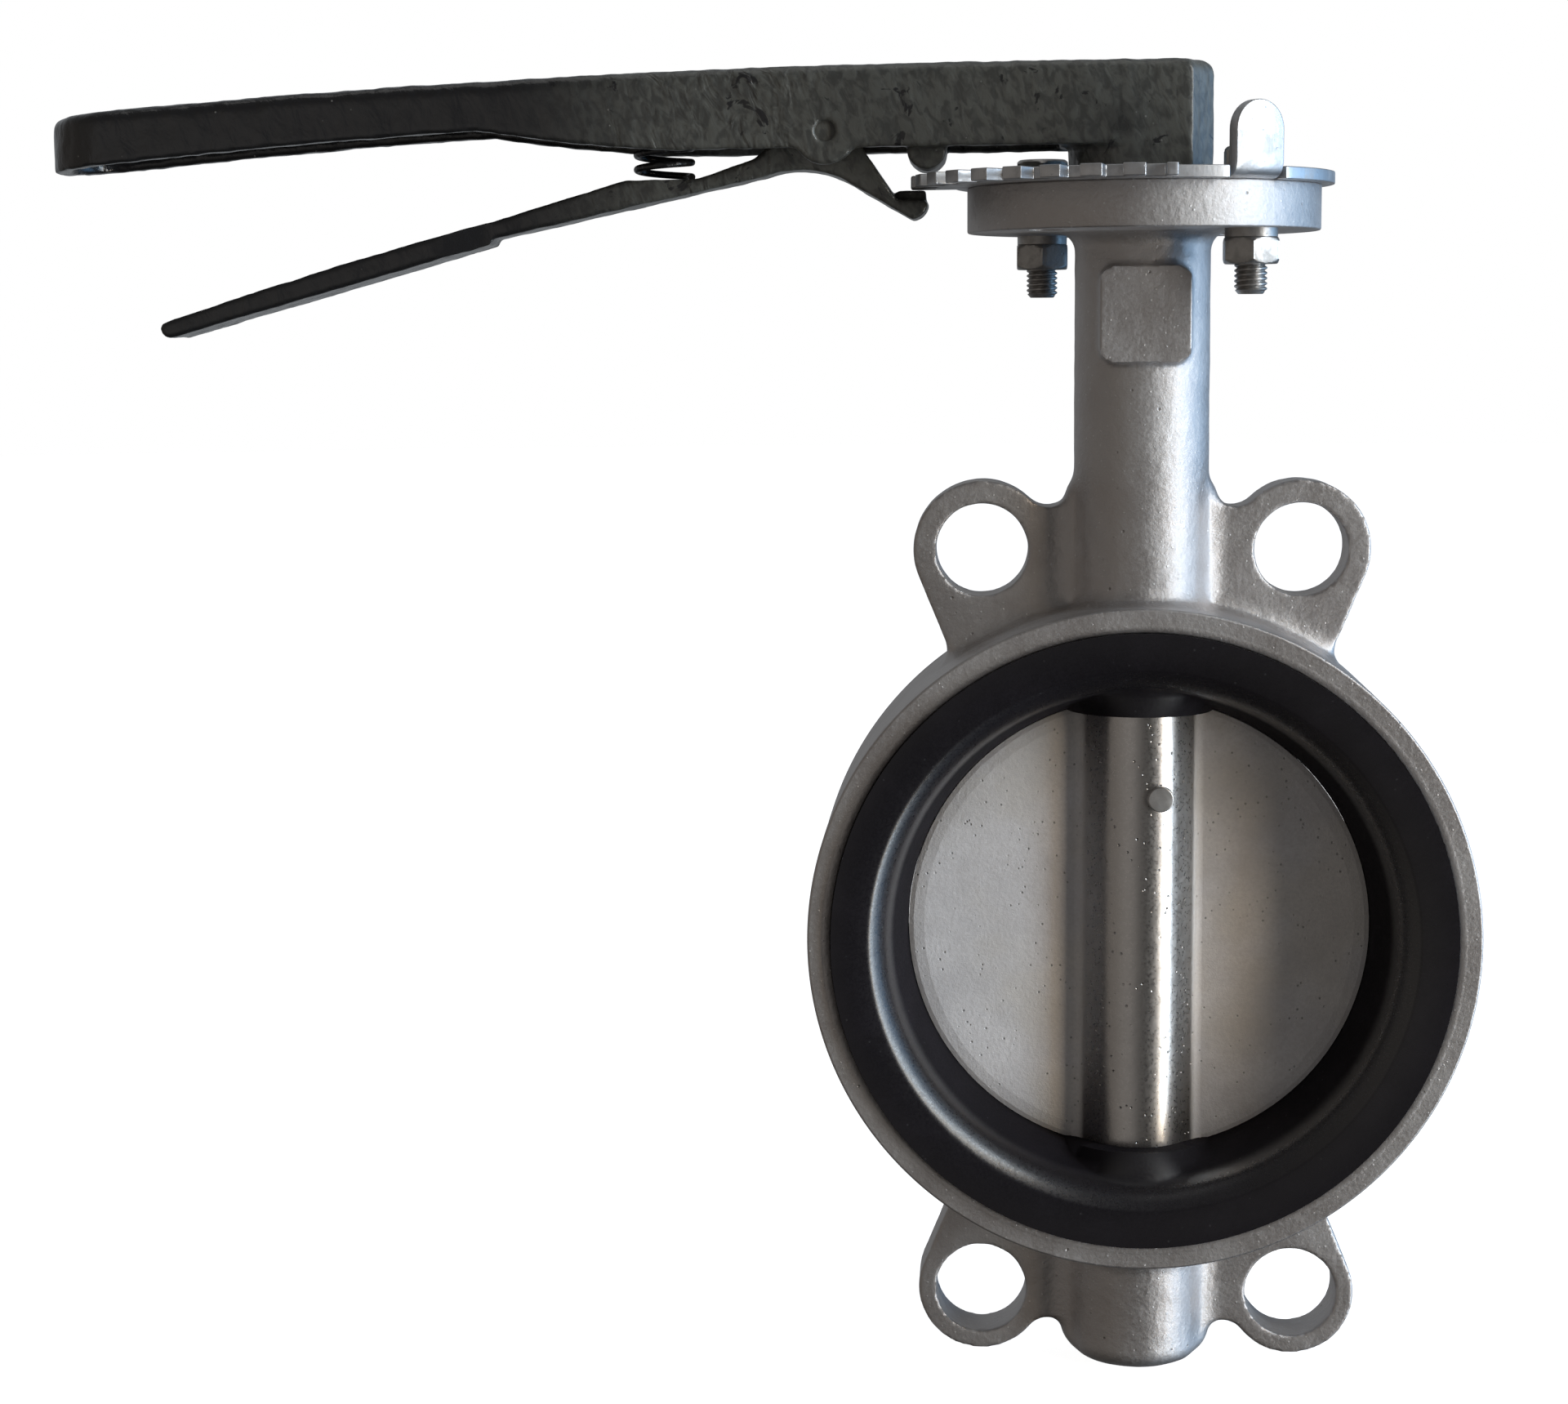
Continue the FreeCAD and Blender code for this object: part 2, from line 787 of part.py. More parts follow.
def notch_plate_part():
    """The notch plate: a round plate with a toothed sector and a stop tab."""
    low = size("flange_top")
    thick = size("plate_thick")
    sector = rod("ToothSector", "tooth_radius", thick, z=low)
    sector.Angle = NOTCH_PITCH * (NOTCH_COUNT - 1) + 2 * SECTOR_MARGIN
    sector.Placement.Rotation = FreeCAD.Rotation(V(0, 0, 1), FIRST_NOTCH - SECTOR_MARGIN)
    round_plate = rod("RoundPlate", "plate_radius", thick, z=low)
    width = size("notch_width")
    tools = [rod("PlateStemHole", "plate_hole", thick, z=low)]
    for index in range(NOTCH_COUNT):
        angle = math.radians(FIRST_NOTCH + NOTCH_PITCH * index)
        along, side = math.cos(angle), math.sin(angle)
        start_x = size("notch_root") * along + width * (side / 2)
        start_y = size("notch_root") * side - width * (along / 2)
        turn = FreeCAD.Rotation(V(0, 0, 1), math.degrees(angle))
        tools.append(block(f"Notch{index}", "notch_length", width, thick, start_x, start_y, low, turn))
    for index, (x, y) in enumerate(bolt_places()):
        tools.append(rod(f"PlateBoltHole{index}", "flange_hole", thick, x, y, low))
    tools.append(tab_relief(low, thick))
    blank = cut("PlateBlank", fuse("PlateSolid", sector, round_plate), *tools)
    return fuse("notch_plate", blank, stop_tab())


def tab_relief(low, thick):
    """The clearance cut at the rim where the tab was bent up."""
    depth = size("plate_thick") + "tab_bend"
    width = size("tab_width") + size("tab_relief") * 2
    angle = math.radians(TAB_ANGLE)
    along, side = math.cos(angle), math.sin(angle)
    inner = size("plate_radius") - depth
    start_x = inner * along + width * (side / 2)
    start_y = inner * side - width * (along / 2)
    turn = FreeCAD.Rotation(V(0, 0, 1), TAB_ANGLE)
    return block("TabRelief", depth * 2, width, thick, start_x, start_y, low, turn)


def bolt_places():
    """Where the two plate bolts stand: back left and front right."""
    offset = size("flange_bolt_offset")
    return [(-offset, offset), (offset, -offset)]


def hexagon(name, height, low, x, y, crowned_up):
    """A hexagon with its corners turned off on the outer side."""
    radius = size("hexagon_radius")
    blank = prism(name + "Blank", radius, height, x, y, low)
    wide, narrow = radius + "hexagon_slope", radius - "hexagon_corner"
    first, last = (wide, narrow) if crowned_up else (narrow, wide)
    crown = cone(name + "Crown", first, last, height, x, y, low)
    return common(name, blank, crown)


def fasteners():
    """Two bolts through plate and flange, each with a spring washer and a nut."""
    pieces = []
    top = size("flange_top") + "plate_thick"
    shank = size("bolt_radius")
    for side, (x, y) in zip(("left", "right"), bolt_places()):
        head = hexagon(f"Head_{side}", "head_thick", top, x, y, True)
        stalk = rod(f"Shank_{side}", shank, "bolt_length", x, y, top - "bolt_length")
        pieces.append(fuse(f"plate_bolt_{side}", head, stalk))
        washer_low = size("flange_low") - "spring_washer_thick"
        pieces.append(spring_washer(side, washer_low, x, y))
        nut_low = washer_low - "nut_thick"
        blank = hexagon(f"Nut_{side}", "nut_thick", nut_low, x, y, False)
        hole = rod(f"NutHole_{side}", shank, "nut_thick", x, y, nut_low)
        pieces.append(cut(f"plate_nut_{side}", blank, hole))
    return pieces


def spring_washer(side, low, x, y):
    """A split spring washer, pressed flat."""
    thick = size("spring_washer_thick")
    outer = rod(f"WasherOutside_{side}", "spring_washer_radius", thick, x, y, low)
    inner = rod(f"WasherInside_{side}", size("bolt_radius") + "spring_washer_gap", thick, x, y, low)
    slit = block(f"WasherSlit_{side}", "spring_washer_radius", "spring_washer_slit", thick,
                 x, y, low)
    return cut(f"spring_washer_{side}", outer, inner, slit)


# ---------------------------------------------------------------- handle


def plan_outline(name, half, back, chamfer_short, chamfer_long, end, length, z):
    """The handle seen from above: chamfered heel and a round far end."""
    half, back, end = size(half), size(back), size(end)
    return pad(name, "XY_Plane", [
        (back - chamfer_short, -half),
        (back, size(chamfer_long) - half),
        (back, half - chamfer_long),
        (back - chamfer_short, half),
        (half - end, half),
        (-end, 0, half),
        (half - end, -half, half),
    ], length, z=z)


def back_height(reach):
    """Height of the handle's curved back at a distance from the stem axis."""
    run = size(reach) - "heel_front"
    curve = size("back_curve")
    return size("heel_top") - (curve - root(curve * curve - run * run))


def handle_side():
    """The handle seen from the side: level heel, gently curved back and a shallow arch below."""
    back = size("heel_back")
    beyond = size("end_reach") + "lever_edge_round"
    return pad("HandleSide", "XZ_Plane", [
        (back, "wall_low_heel"),
        (back, "heel_top"),
        (-size("heel_front"), "heel_top"),
        (-beyond, back_height(beyond), "back_curve"),
        (-beyond, "end_low"),
        (-size("arch_reach"), "arch_top", -size("grip_curve")),
        (-size("wall_low_reach"), "wall_low", "arch_curve"),
    ], size("lever_half_width") * 2 + "tool_reach")


def handle_foot():
    """The solid foot of the heel, standing just clear of the notch plate."""
    half = size("lever_half_width")
    low = size("flange_top") + "plate_thick" + "lever_gap"
    height = size("heel_top") - low
    middle = half - "foot_reach"
    tall = size("wall_low") - low + "foot_overlap"
    round_foot = rod("RoundFoot", half, tall, x=middle, z=low)
    back = plan_outline("HeelPlan", half, "heel_back", "heel_chamfer_short", "heel_chamfer_long",
                        "heel_front", height * 2, low + height)
    reach = size("heel_back") - middle
    room = block("HeelRoom", reach, half * 2, tall, middle, -half, low)
    return [round_foot, common("SquareFoot", back, room)]


def handle_channel():
    """The hollow under the handle, open below."""
    roof = size("lever_roof")
    inner = size("lever_half_width") - "lever_wall"
    front = -size("heel_front")
    low = size("end_low") - "tool_reach"
    end = size("end_reach")
    side = pad("ChannelSide", "XZ_Plane", [
        (front, low),
        (front, size("heel_top") - roof),
        (-end, back_height(end) - roof, "back_curve"),
        (-end, low),
    ], inner * 2)
    plan = plan_outline("ChannelPlan", inner, front, "sharp_corner", "sharp_corner",
                        end - "lever_wall", "tool_reach", "arch_top")
    return common("Channel", side, plan)


def handle_lug():
    """The half-round lug inside the handle that rides over the notch plate."""
    half = size("lug_half_width")
    radius = size("lug_radius")
    x = -size("lug_reach")
    z = size("lug_height")
    nose = rod("LugNose", radius, half * 2, x, -half, z, ALONG_Y)
    tall = size("heel_top") - "lever_roof" - z + "lug_overlap"
    stalk = block("LugStalk", radius * 2, half * 2, tall, x - radius, -half, z)
    return [nose, stalk]


def handle_part():
    """The handle: a cast lever with a solid heel, a channel, pivot ears and a guide lug."""
    half = size("lever_half_width")
    plan = plan_outline("HandlePlan", half, "heel_back", "heel_chamfer_short",
                        "heel_chamfer_long", "end_reach", "tool_reach", "arch_top")
    outside = common("HandleOutside", handle_side(), plan)
    softened = round_edges("HandleSoftened", outside, "lever_edge_round", is_top_edge)
    x = -size("pivot_reach")
    z = size("pivot_height")
    ear = rod("PivotEars", "pivot_ear", half * 2, x, -half, z, ALONG_Y)
    solid = fuse("HandleSolid", softened, ear, *handle_foot())
    hollow = cut("HandleHollow", solid, handle_channel())
    whole = fuse("HandleWhole", hollow, *handle_lug())
    side = size("square_side")
    socket = block("LeverSquare", side, side, "tool_reach", -side / 2, -side / 2, "flange_top")
    pivot = rod("PivotHole", "pivot_radius", half * 2, x, -half, z, ALONG_Y)
    screw = rod("ScrewHole", "screw_radius", size("heel_back"), z="screw_height", turn=ALONG_X)
    return cut("handle", whole, socket, pivot, screw)


def is_top_edge(edge):
    """True for an edge that runs round the back of the handle."""
    box = edge.BoundBox
    upright = box.ZLength > max(box.XLength, box.YLength)
    across = box.XLength < EDGE_TOLERANCE and box.XMin < 0
    return box.ZMin > SIZES["arch_top"] and not upright and not across


def clamp_screw_part():
    """The socket set screw that presses on the square of the stem."""
    start = size("square_side") / 2
    length = size("heel_back") - start - "screw_inset"
    blank = rod("ScrewBlank", "screw_radius", length, start, 0, "screw_height", ALONG_X)
    socket = doc.addObject("Part::Prism", "ScrewSocket")
    socket.Polygon = 6
    bind(socket, Circumradius="screw_socket", Height="screw_socket_depth")
    place(socket, start + length - "screw_socket_depth", 0, "screw_height", ALONG_X)
    return cut("clamp_screw", blank, socket)


# ---------------------------------------------------------------- trigger and spring


def trigger_pin_part():
    """The pivot pin, a little short of the outer faces of the handle."""
    half = size("lever_half_width") - "pivot_recess"
    return rod("trigger_pin", "pivot_radius", half * 2, -size("pivot_reach"), -half,
               "pivot_height", ALONG_Y)


def trigger_arm():
    """The arm from the hook, past the pivot and under the spring, to the finger grip."""
    outer = size("nose_outer")
    hook = size("nose_inner") - "hook_toe"
    toe = size("hook_toe_rise")
    low = size("hook_low")
    shoulder = size("nose_top") - "nose_height"
    pivot = size("pivot_reach")
    seat = size("spring_seat")
    seat_near = size("spring_reach") - "spring_seat_radius"
    seat_far = size("spring_reach") + "spring_seat_radius"
    grip = size("grip_reach")
    eye = size("eye_radius")
    height = size("pivot_height")
    return pad("TriggerArm", "XZ_Plane", [
        (-size("nose_inner"), shoulder),
        (-hook, low + toe),
        (-(hook + toe), low, -size("hook_toe_curve")),
        (-(pivot - "arch_near"), height - "arch_near_drop"),
        (-(pivot + "arch_far"), height - "arch_far_drop", "arm_arch"),
        (-grip, "grip_low"),
        (-grip, "grip_high"),
        (-seat_far, arm_back(seat_far), -size("grip_back_curve")),
        (-seat_far, seat),
        (-seat_near, seat),
        (-(seat_near - "arm_ramp"), seat + "arm_ramp_rise"),
        (-(pivot + "eye_start"), height + eye - "eye_start_drop"),
        (-(pivot - eye), height, -(eye + "eye_bulge")),
        (-(pivot - "hook_root"), height - "hook_root_drop"),
        (-outer, shoulder),
    ], size("trigger_half_width") * 2)


def arm_back(reach):
    """Height of the straight chord along the back of the arm and grip."""
    share = (size(reach) - "grip_reach") / (size("tip_reach") - "grip_reach")
    return size("grip_high") - (size("grip_high") - "tip_high") * share


def trigger_grip():
    """The finger grip, wider and thicker than the arm, rounded at the tip."""
    return pad("TriggerGrip", "XZ_Plane", [
        (-size("grip_reach"), size("grip_low") - "grip_step"),
        (-(size("tip_reach") - "tip_slant"), size("tip_high") - "tip_thick"),
        (-size("tip_reach"), "tip_high", -size("tip_round")),
        (-size("grip_reach"), "grip_high", -size("grip_back_curve")),
    ], size("trigger_grip_half") * 2)


def trigger_part():
    """The trigger: arm, finger grip, pivot eye, spring seat and the nose for the notches."""
    half = size("lever_half_width") - "lever_wall" - "eye_side_gap"
    x = -size("pivot_reach")
    z = size("pivot_height")
    eye = rod("Eye", "eye_radius", half * 2, x, -half, z, ALONG_Y)
    seat = rod("SpringSeat", "spring_seat_radius", "spring_seat_thick", -size("spring_reach"), 0,
               size("spring_seat") - "spring_seat_thick")
    depth = size("nose_height") * 2
    nose = block("Nose", size("nose_outer") - "nose_inner", size("nose_half_width") * 2, depth,
                 -size("nose_outer"), -size("nose_half_width"), size("nose_top") - depth)
    whole = fuse("TriggerSolid", trigger_arm(), trigger_grip(), eye, seat, nose)
    hole = rod("EyeHole", size("pivot_radius") + "pivot_gap", half * 2, x, -half, z, ALONG_Y)
    return cut("trigger", whole, hole)


def spring_part():
    """The compression spring, from the seat on the trigger to the roof of the handle."""
    radius = size("spring_mean_radius")
    wire = size("spring_wire")
    low = size("spring_seat") + wire + "spring_low_gap"
    high = back_height("spring_reach") - "lever_roof" - wire - "spring_high_gap"
    helix = bind(doc.addObject("Part::Helix", "SpringHelix"), Pitch="spring_pitch",
                 Height=high - low, Radius=radius)
    place(helix, -size("spring_reach"), 0, low)
    section = bind(doc.addObject("Part::Circle", "SpringWire"), Radius=wire)
    place(section, radius - "spring_reach", 0, low, FreeCAD.Rotation(V(1, 0, 0), 90))
    doc.recompute()
    spring = doc.addObject("Part::Sweep", "trigger_spring")
    spring.Sections = [section]
    spring.Spine = (helix, [f"Edge{index + 1}" for index in range(len(helix.Shape.Edges))])
    spring.Solid = True
    spring.Frenet = True
    return spring


# ---------------------------------------------------------------- document


def label(obj):
    """Give a sub-part the label that names its file."""
    obj.Label = obj.Name
    return obj


def build():
    """Make every sub-part of the valve and return them."""
    parts = [body_part(), seat_part(), disc_part(), stem_part(), pin_hole("taper_pin")]
    parts += bearings()
    parts += [seal("upper_o_ring", "upper_seal_low"), seal("lower_o_ring", -size("lower_seal_low"))]
    parts += retainers()
    parts += [notch_plate_part()] + fasteners()
    parts += [handle_part(), clamp_screw_part(), trigger_pin_part(), trigger_part(), spring_part()]
    doc.recompute()
    return [label(part) for part in parts]


def check(parts):
    """Stop if any object failed or any sub-part isn't one valid solid."""
    failed = [obj.Name for obj in doc.Objects if "Invalid" in obj.State or "Error" in obj.State]
    if failed:
        raise RuntimeError(f"objects failed: {failed}")
    for part in parts:
        shape = part.Shape
        if shape.isNull() or not shape.isValid() or len(shape.Solids) != 1:
            raise RuntimeError(f"{part.Label} isn't one valid solid: {len(shape.Solids)}")


fill_sheet()
sub_parts = build()
check(sub_parts)
os.makedirs("parts", exist_ok=True)
for sub_part in sub_parts:
    sub_part.Shape.exportStep(f"parts/{sub_part.Label}.step")
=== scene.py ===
import json
import math

import bmesh
import bpy
import numpy as np
from mathutils import Matrix, Vector, noise
from mathutils.bvhtree import BVHTree


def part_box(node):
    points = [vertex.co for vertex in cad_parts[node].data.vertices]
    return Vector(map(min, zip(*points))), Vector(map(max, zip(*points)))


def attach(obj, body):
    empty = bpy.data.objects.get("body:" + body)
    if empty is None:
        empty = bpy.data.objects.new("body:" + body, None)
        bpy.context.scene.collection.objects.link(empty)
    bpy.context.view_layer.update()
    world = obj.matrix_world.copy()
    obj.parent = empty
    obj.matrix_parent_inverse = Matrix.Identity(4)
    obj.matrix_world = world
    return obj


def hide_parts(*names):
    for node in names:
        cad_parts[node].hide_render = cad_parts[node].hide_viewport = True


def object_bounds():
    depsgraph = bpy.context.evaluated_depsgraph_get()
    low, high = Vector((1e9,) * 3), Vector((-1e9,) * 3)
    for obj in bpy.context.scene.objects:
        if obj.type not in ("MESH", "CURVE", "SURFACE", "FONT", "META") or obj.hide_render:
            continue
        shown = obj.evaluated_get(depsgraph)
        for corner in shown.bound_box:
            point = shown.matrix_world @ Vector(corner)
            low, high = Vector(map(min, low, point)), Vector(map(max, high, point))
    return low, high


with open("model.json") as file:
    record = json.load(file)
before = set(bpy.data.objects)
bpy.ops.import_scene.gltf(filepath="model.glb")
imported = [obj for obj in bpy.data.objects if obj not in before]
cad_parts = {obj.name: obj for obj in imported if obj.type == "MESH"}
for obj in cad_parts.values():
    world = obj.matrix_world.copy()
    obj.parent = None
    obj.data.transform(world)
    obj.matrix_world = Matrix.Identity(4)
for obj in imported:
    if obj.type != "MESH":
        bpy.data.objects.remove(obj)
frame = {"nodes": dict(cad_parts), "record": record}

CAD_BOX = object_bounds()
MM = 0.001
NODES = frame["nodes"]
BODY_OF_NODE = {
    node: body
    for body, members in frame["record"]["behaviour"]["bodies"].items()
    for node in members
}
SLOT_OF_NODE = {s["node"]: s["material_slot"] for s in frame["record"]["subparts"]}


# ---------------------------------------------------------------- material graphs
class Graph:
    """A node material written in short calls. Texture positions are millimetres in the row frame."""

    def __init__(self, name):
        self.material = bpy.data.materials.new(name)
        self.material.use_nodes = True
        self.tree = self.material.node_tree
        self.tree.nodes.clear()
        out = self.node("OutputMaterial")
        self.shader = self.node("BsdfPrincipled")
        self.tree.links.new(self.shader.outputs[0], out.inputs["Surface"])
        self.place = self.node("VectorMath", operation="SCALE")
        self.put(self.place.inputs["Vector"], self.node("TexCoord").outputs["Object"])
        self.put(self.place.inputs["Scale"], 1 / MM)
        self.at = self.place.outputs[0]
        self.xyz = self.node("SeparateXYZ")
        self.put(self.xyz.inputs[0], self.at)
        self.x, self.y, self.z = self.xyz.outputs

    def node(self, kind, **settings):
        made = self.tree.nodes.new("ShaderNode" + kind)
        for key, value in settings.items():
            setattr(made, key, value)
        return made

    def put(self, socket, value):
        if isinstance(value, bpy.types.NodeSocket):
            self.tree.links.new(value, socket)
        elif isinstance(value, tuple) and len(value) == 3 and socket.type == "RGBA":
            socket.default_value = (*value, 1)
        else:
            socket.default_value = value

    def math(self, operation, *values):
        """One arithmetic step on sockets or plain numbers."""
        made = self.node("Math", operation=operation)
        for socket, value in zip(made.inputs, values):
            self.put(socket, value)
        return made.outputs[0]

    def noise(self, size, detail=3.0, roughness=0.55, twist=0.0, stretch=None, at=None):
        """Noise whose lumps are about size millimetres across; stretch squeezes them along x, y and z."""
        made = self.node("TexNoise")
        where = at or self.at
        if stretch:
            scaled = self.node("VectorMath", operation="MULTIPLY")
            self.put(scaled.inputs[0], self.at)
            self.put(scaled.inputs[1], stretch)
            where = scaled.outputs[0]
        self.put(made.inputs["Vector"], where)
        self.put(made.inputs["Scale"], 1 / size)
        self.put(made.inputs["Detail"], detail)
        self.put(made.inputs["Roughness"], roughness)
        self.put(made.inputs["Distortion"], twist)
        return made.outputs[0]

    def spots(self, size):
        """Distance to the nearest of many scattered points about size millimetres apart."""
        made = self.node("TexVoronoi")
        self.put(made.inputs["Vector"], self.at)
        self.put(made.inputs["Scale"], 1 / size)
        return made.outputs["Distance"]

    def span(self, value, low, high, to_low=0.0, to_high=1.0):
        """value from low..high carried to to_low..to_high, smoothly and held at the ends."""
        made = self.node("MapRange", interpolation_type="SMOOTHSTEP")
        for key, number in zip(range(5), (value, low, high, to_low, to_high)):
            self.put(made.inputs[key], number)
        return made.outputs[0]

    def mix(self, share, a, b):
        """Colour a where share is 0, colour b where it is 1."""
        made = self.node("Mix", data_type="RGBA")
        self.put(made.inputs[0], share)
        self.put(made.inputs[6], a)
        self.put(made.inputs[7], b)
        return made.outputs[2]

    def radius(self, along):
        """Distance from the row's Y axis or Z axis through the origin."""
        other = self.z if along == "y" else self.y
        squares = [self.math("MULTIPLY", part, part) for part in (self.x, other)]
        return self.math("SQRT", self.math("ADD", *squares))

    def bump(self, *layers):
        """layers are (height socket, depth in millimetres)."""
        normal = None
        for height, depth in layers:
            made = self.node("Bump")
            self.put(made.inputs["Strength"], 1.0)
            self.put(made.inputs["Distance"], depth * MM)
            self.put(made.inputs["Height"], height)
            if normal:
                self.put(made.inputs["Normal"], normal)
            normal = made.outputs[0]
        self.put(self.shader.inputs["Normal"], normal)

    def finish(self, colour, roughness, metallic=1.0, **more):
        """Fills the shader's main inputs; other inputs are named with underscores for spaces."""
        self.put(self.shader.inputs["Base Color"], colour)
        self.put(self.shader.inputs["Roughness"], roughness)
        self.put(self.shader.inputs["Metallic"], metallic)
        for key, value in more.items():
            self.put(self.shader.inputs[key.replace("_", " ")], value)
        return self.material


def cast_steel():
    """Bead-blasted stainless casting: warm grey, clouded, pebbled, with bright specks and a few pits."""
    g = Graph("cast_stainless_skin")
    cloud = g.span(g.noise(26, 4), 0.35, 0.68)
    grain = g.noise(0.8, 4, 0.7)
    pebble = g.noise(1.9, 3, 0.6)
    speck = g.span(g.spots(2.3), 0.04, 0.16, 1, 0)
    pit = g.math("MULTIPLY", g.span(g.spots(4.4), 0.03, 0.11, 1, 0), g.span(g.noise(13, 2), 0.5, 0.6))
    colour = g.mix(cloud, (0.47, 0.435, 0.42), (0.57, 0.545, 0.535))
    colour = g.mix(g.span(grain, 0.35, 0.7, 0, 0.4), colour, (0.62, 0.61, 0.605))
    colour = g.mix(g.math("MULTIPLY", speck, 0.35), colour, (0.9, 0.9, 0.9))
    colour = g.mix(g.math("MULTIPLY", pit, 0.6), colour, (0.16, 0.14, 0.13))
    g.bump((g.noise(5.5, 2), 0.16), (pebble, 0.16), (grain, 0.06), (speck, 0.05), (pit, -0.12))
    rough = g.math("ADD", g.span(grain, 0.3, 0.7, 0.47, 0.57), g.math("MULTIPLY", cloud, 0.06))
    return g.finish(colour, rough)


def machined_steel(name, along, pitch, tone, rough, cut_depth):
    """Turned stainless with rings about the axis named by along, a little uneven from ring to ring."""
    g = Graph(name)
    r = g.radius(along)
    other = g.y if along == "y" else g.z
    spread = (1, 1, 1) if along == "y" else (0.4, 0.4, 3)
    wander = g.math("MULTIPLY", g.noise(14, 2), pitch * 0.7)
    cut = g.math("ADD", g.math("ADD", r, other), wander)
    wave = g.math("SINE", g.math("MULTIPLY", cut, 2 * math.pi / pitch))
    broad = g.math("SINE", g.math("MULTIPLY", cut, 2 * math.pi / (pitch * 3.7)))
    rings = g.span(g.math("ADD", wave, broad), -1.6, 1.6)
    stain = g.span(g.noise(9, 4, 0.6, stretch=spread), 0.38, 0.66)
    smear = g.math(
        "MULTIPLY",
        g.span(g.radius("y"), 78.6, 80.4, 1, 0) if along == "y" else 0.0,
        g.span(g.noise(13, 3, 0.6, 1.5), 0.57, 0.61),
    )
    dark, light = (tuple(tone[i] * k for i in range(3)) for k in (0.78, 1.12))
    colour = g.mix(rings, dark, light)
    colour = g.mix(g.math("MULTIPLY", stain, 0.55), colour, tuple(c * 0.62 for c in tone))
    colour = g.mix(smear, colour, (0.012, 0.011, 0.012))
    g.bump((rings, cut_depth), (g.noise(0.5, 3), cut_depth * 0.15))
    return g.finish(colour, g.span(rings, 0, 1, rough - 0.05, rough + 0.07))


def disc_steel():
    """Fine blasted stainless, pin-pitted on the plate, with a smoother hub."""
    g = Graph("disc_stainless_skin")
    hub = g.span(g.math("ABSOLUTE", g.x), 13.2, 15.4, 1, 0)
    cloud = g.span(g.noise(22, 5, 0.6), 0.36, 0.66)
    warm = g.span(g.noise(31, 3, 0.5), 0.42, 0.62)
    grain = g.noise(0.75, 4, 0.7)
    pits = g.math(
        "MULTIPLY",
        g.span(g.spots(2.2), 0.06, 0.18, 1, 0),
        g.span(g.noise(11, 2), 0.42, 0.56),
    )
    colour = g.mix(cloud, (0.80, 0.785, 0.80), (0.93, 0.915, 0.93))
    colour = g.mix(g.math("MULTIPLY", warm, 0.35), colour, (0.80, 0.74, 0.64))
    colour = g.mix(g.span(grain, 0.35, 0.7, 0, 0.35), colour, (0.68, 0.66, 0.66))
    colour = g.mix(g.math("MULTIPLY", hub, 0.9), colour, (0.52, 0.495, 0.475))
    colour = g.mix(g.math("MULTIPLY", pits, 0.6), colour, (0.25, 0.24, 0.235))
    smooth = g.span(hub, 0, 1, 1, 0.12)
    fine = g.math("ADD", g.math("MULTIPLY", g.noise(1.8, 2), 0.5), grain)
    g.bump((g.noise(7, 2), 0.12), (g.math("MULTIPLY", fine, smooth), 0.13), (pits, -0.2))
    rough = g.math("SUBTRACT", g.span(grain, 0.3, 0.7, 0.72, 0.82), g.math("MULTIPLY", hub, 0.46))
    return g.finish(colour, rough, g.span(hub, 0, 1, 0.25, 1.0))


def bright_steel(name, tone, rough, brush, wear=0.35):
    """Clean bright steel with fine drawn lines along one axis and dulled patches."""
    g = Graph(name)
    lines = g.noise(1.6, 3, 0.6, stretch=brush)
    dull = g.span(g.noise(5, 4, 0.65), 0.42, 0.66)
    nick = g.span(g.spots(3.1), 0.03, 0.1, 1, 0)
    colour = g.mix(lines, tuple(c * 0.86 for c in tone), tuple(min(1, c * 1.08) for c in tone))
    colour = g.mix(g.math("MULTIPLY", dull, wear), colour, tuple(c * 0.55 for c in tone))
    colour = g.mix(g.math("MULTIPLY", nick, 0.3), colour, tuple(c * 0.4 for c in tone))
    g.bump((lines, 0.03), (g.noise(0.8, 3), 0.03), (nick, -0.05))
    return g.finish(colour, g.math("ADD", g.math("MULTIPLY", dull, 0.16), rough))


def seat_rubber(name, tone, rough):
    """Moulded rubber: satin, faintly mottled, with a dusty bloom and fine orange-peel."""
    g = Graph(name)
    bloom = g.span(g.noise(17, 5, 0.65), 0.4, 0.72)
    grain = g.noise(0.6, 3, 0.6)
    dust = g.math("MULTIPLY", g.span(g.spots(4.2), 0.02, 0.09, 1, 0), 0.4)
    colour = g.mix(g.math("MULTIPLY", bloom, 0.5), tone, tuple(c * 1.9 for c in tone))
    colour = g.mix(g.math("MULTIPLY", dust, 0.4), colour, (0.2, 0.2, 0.21))
    g.bump((g.noise(4, 2), 0.05), (grain, 0.012))
    depth = g.math("ABSOLUTE", g.y)
    mouth = g.math("MULTIPLY", g.span(depth, 16, 22), g.span(depth, 27.2, 27.9, 1, 0))
    inner = g.span(depth, 16, 22, 1, 0)
    rough = g.math("ADD", g.span(grain, 0.3, 0.7, rough, rough + 0.1), g.math("MULTIPLY", inner, 0.4))
    gloss = g.math("SUBTRACT", g.span(mouth, 0, 1, 0.5, 1.0), g.math("MULTIPLY", inner, 0.4))
    return g.finish(colour, rough, 0.0, Specular_IOR_Level=gloss)


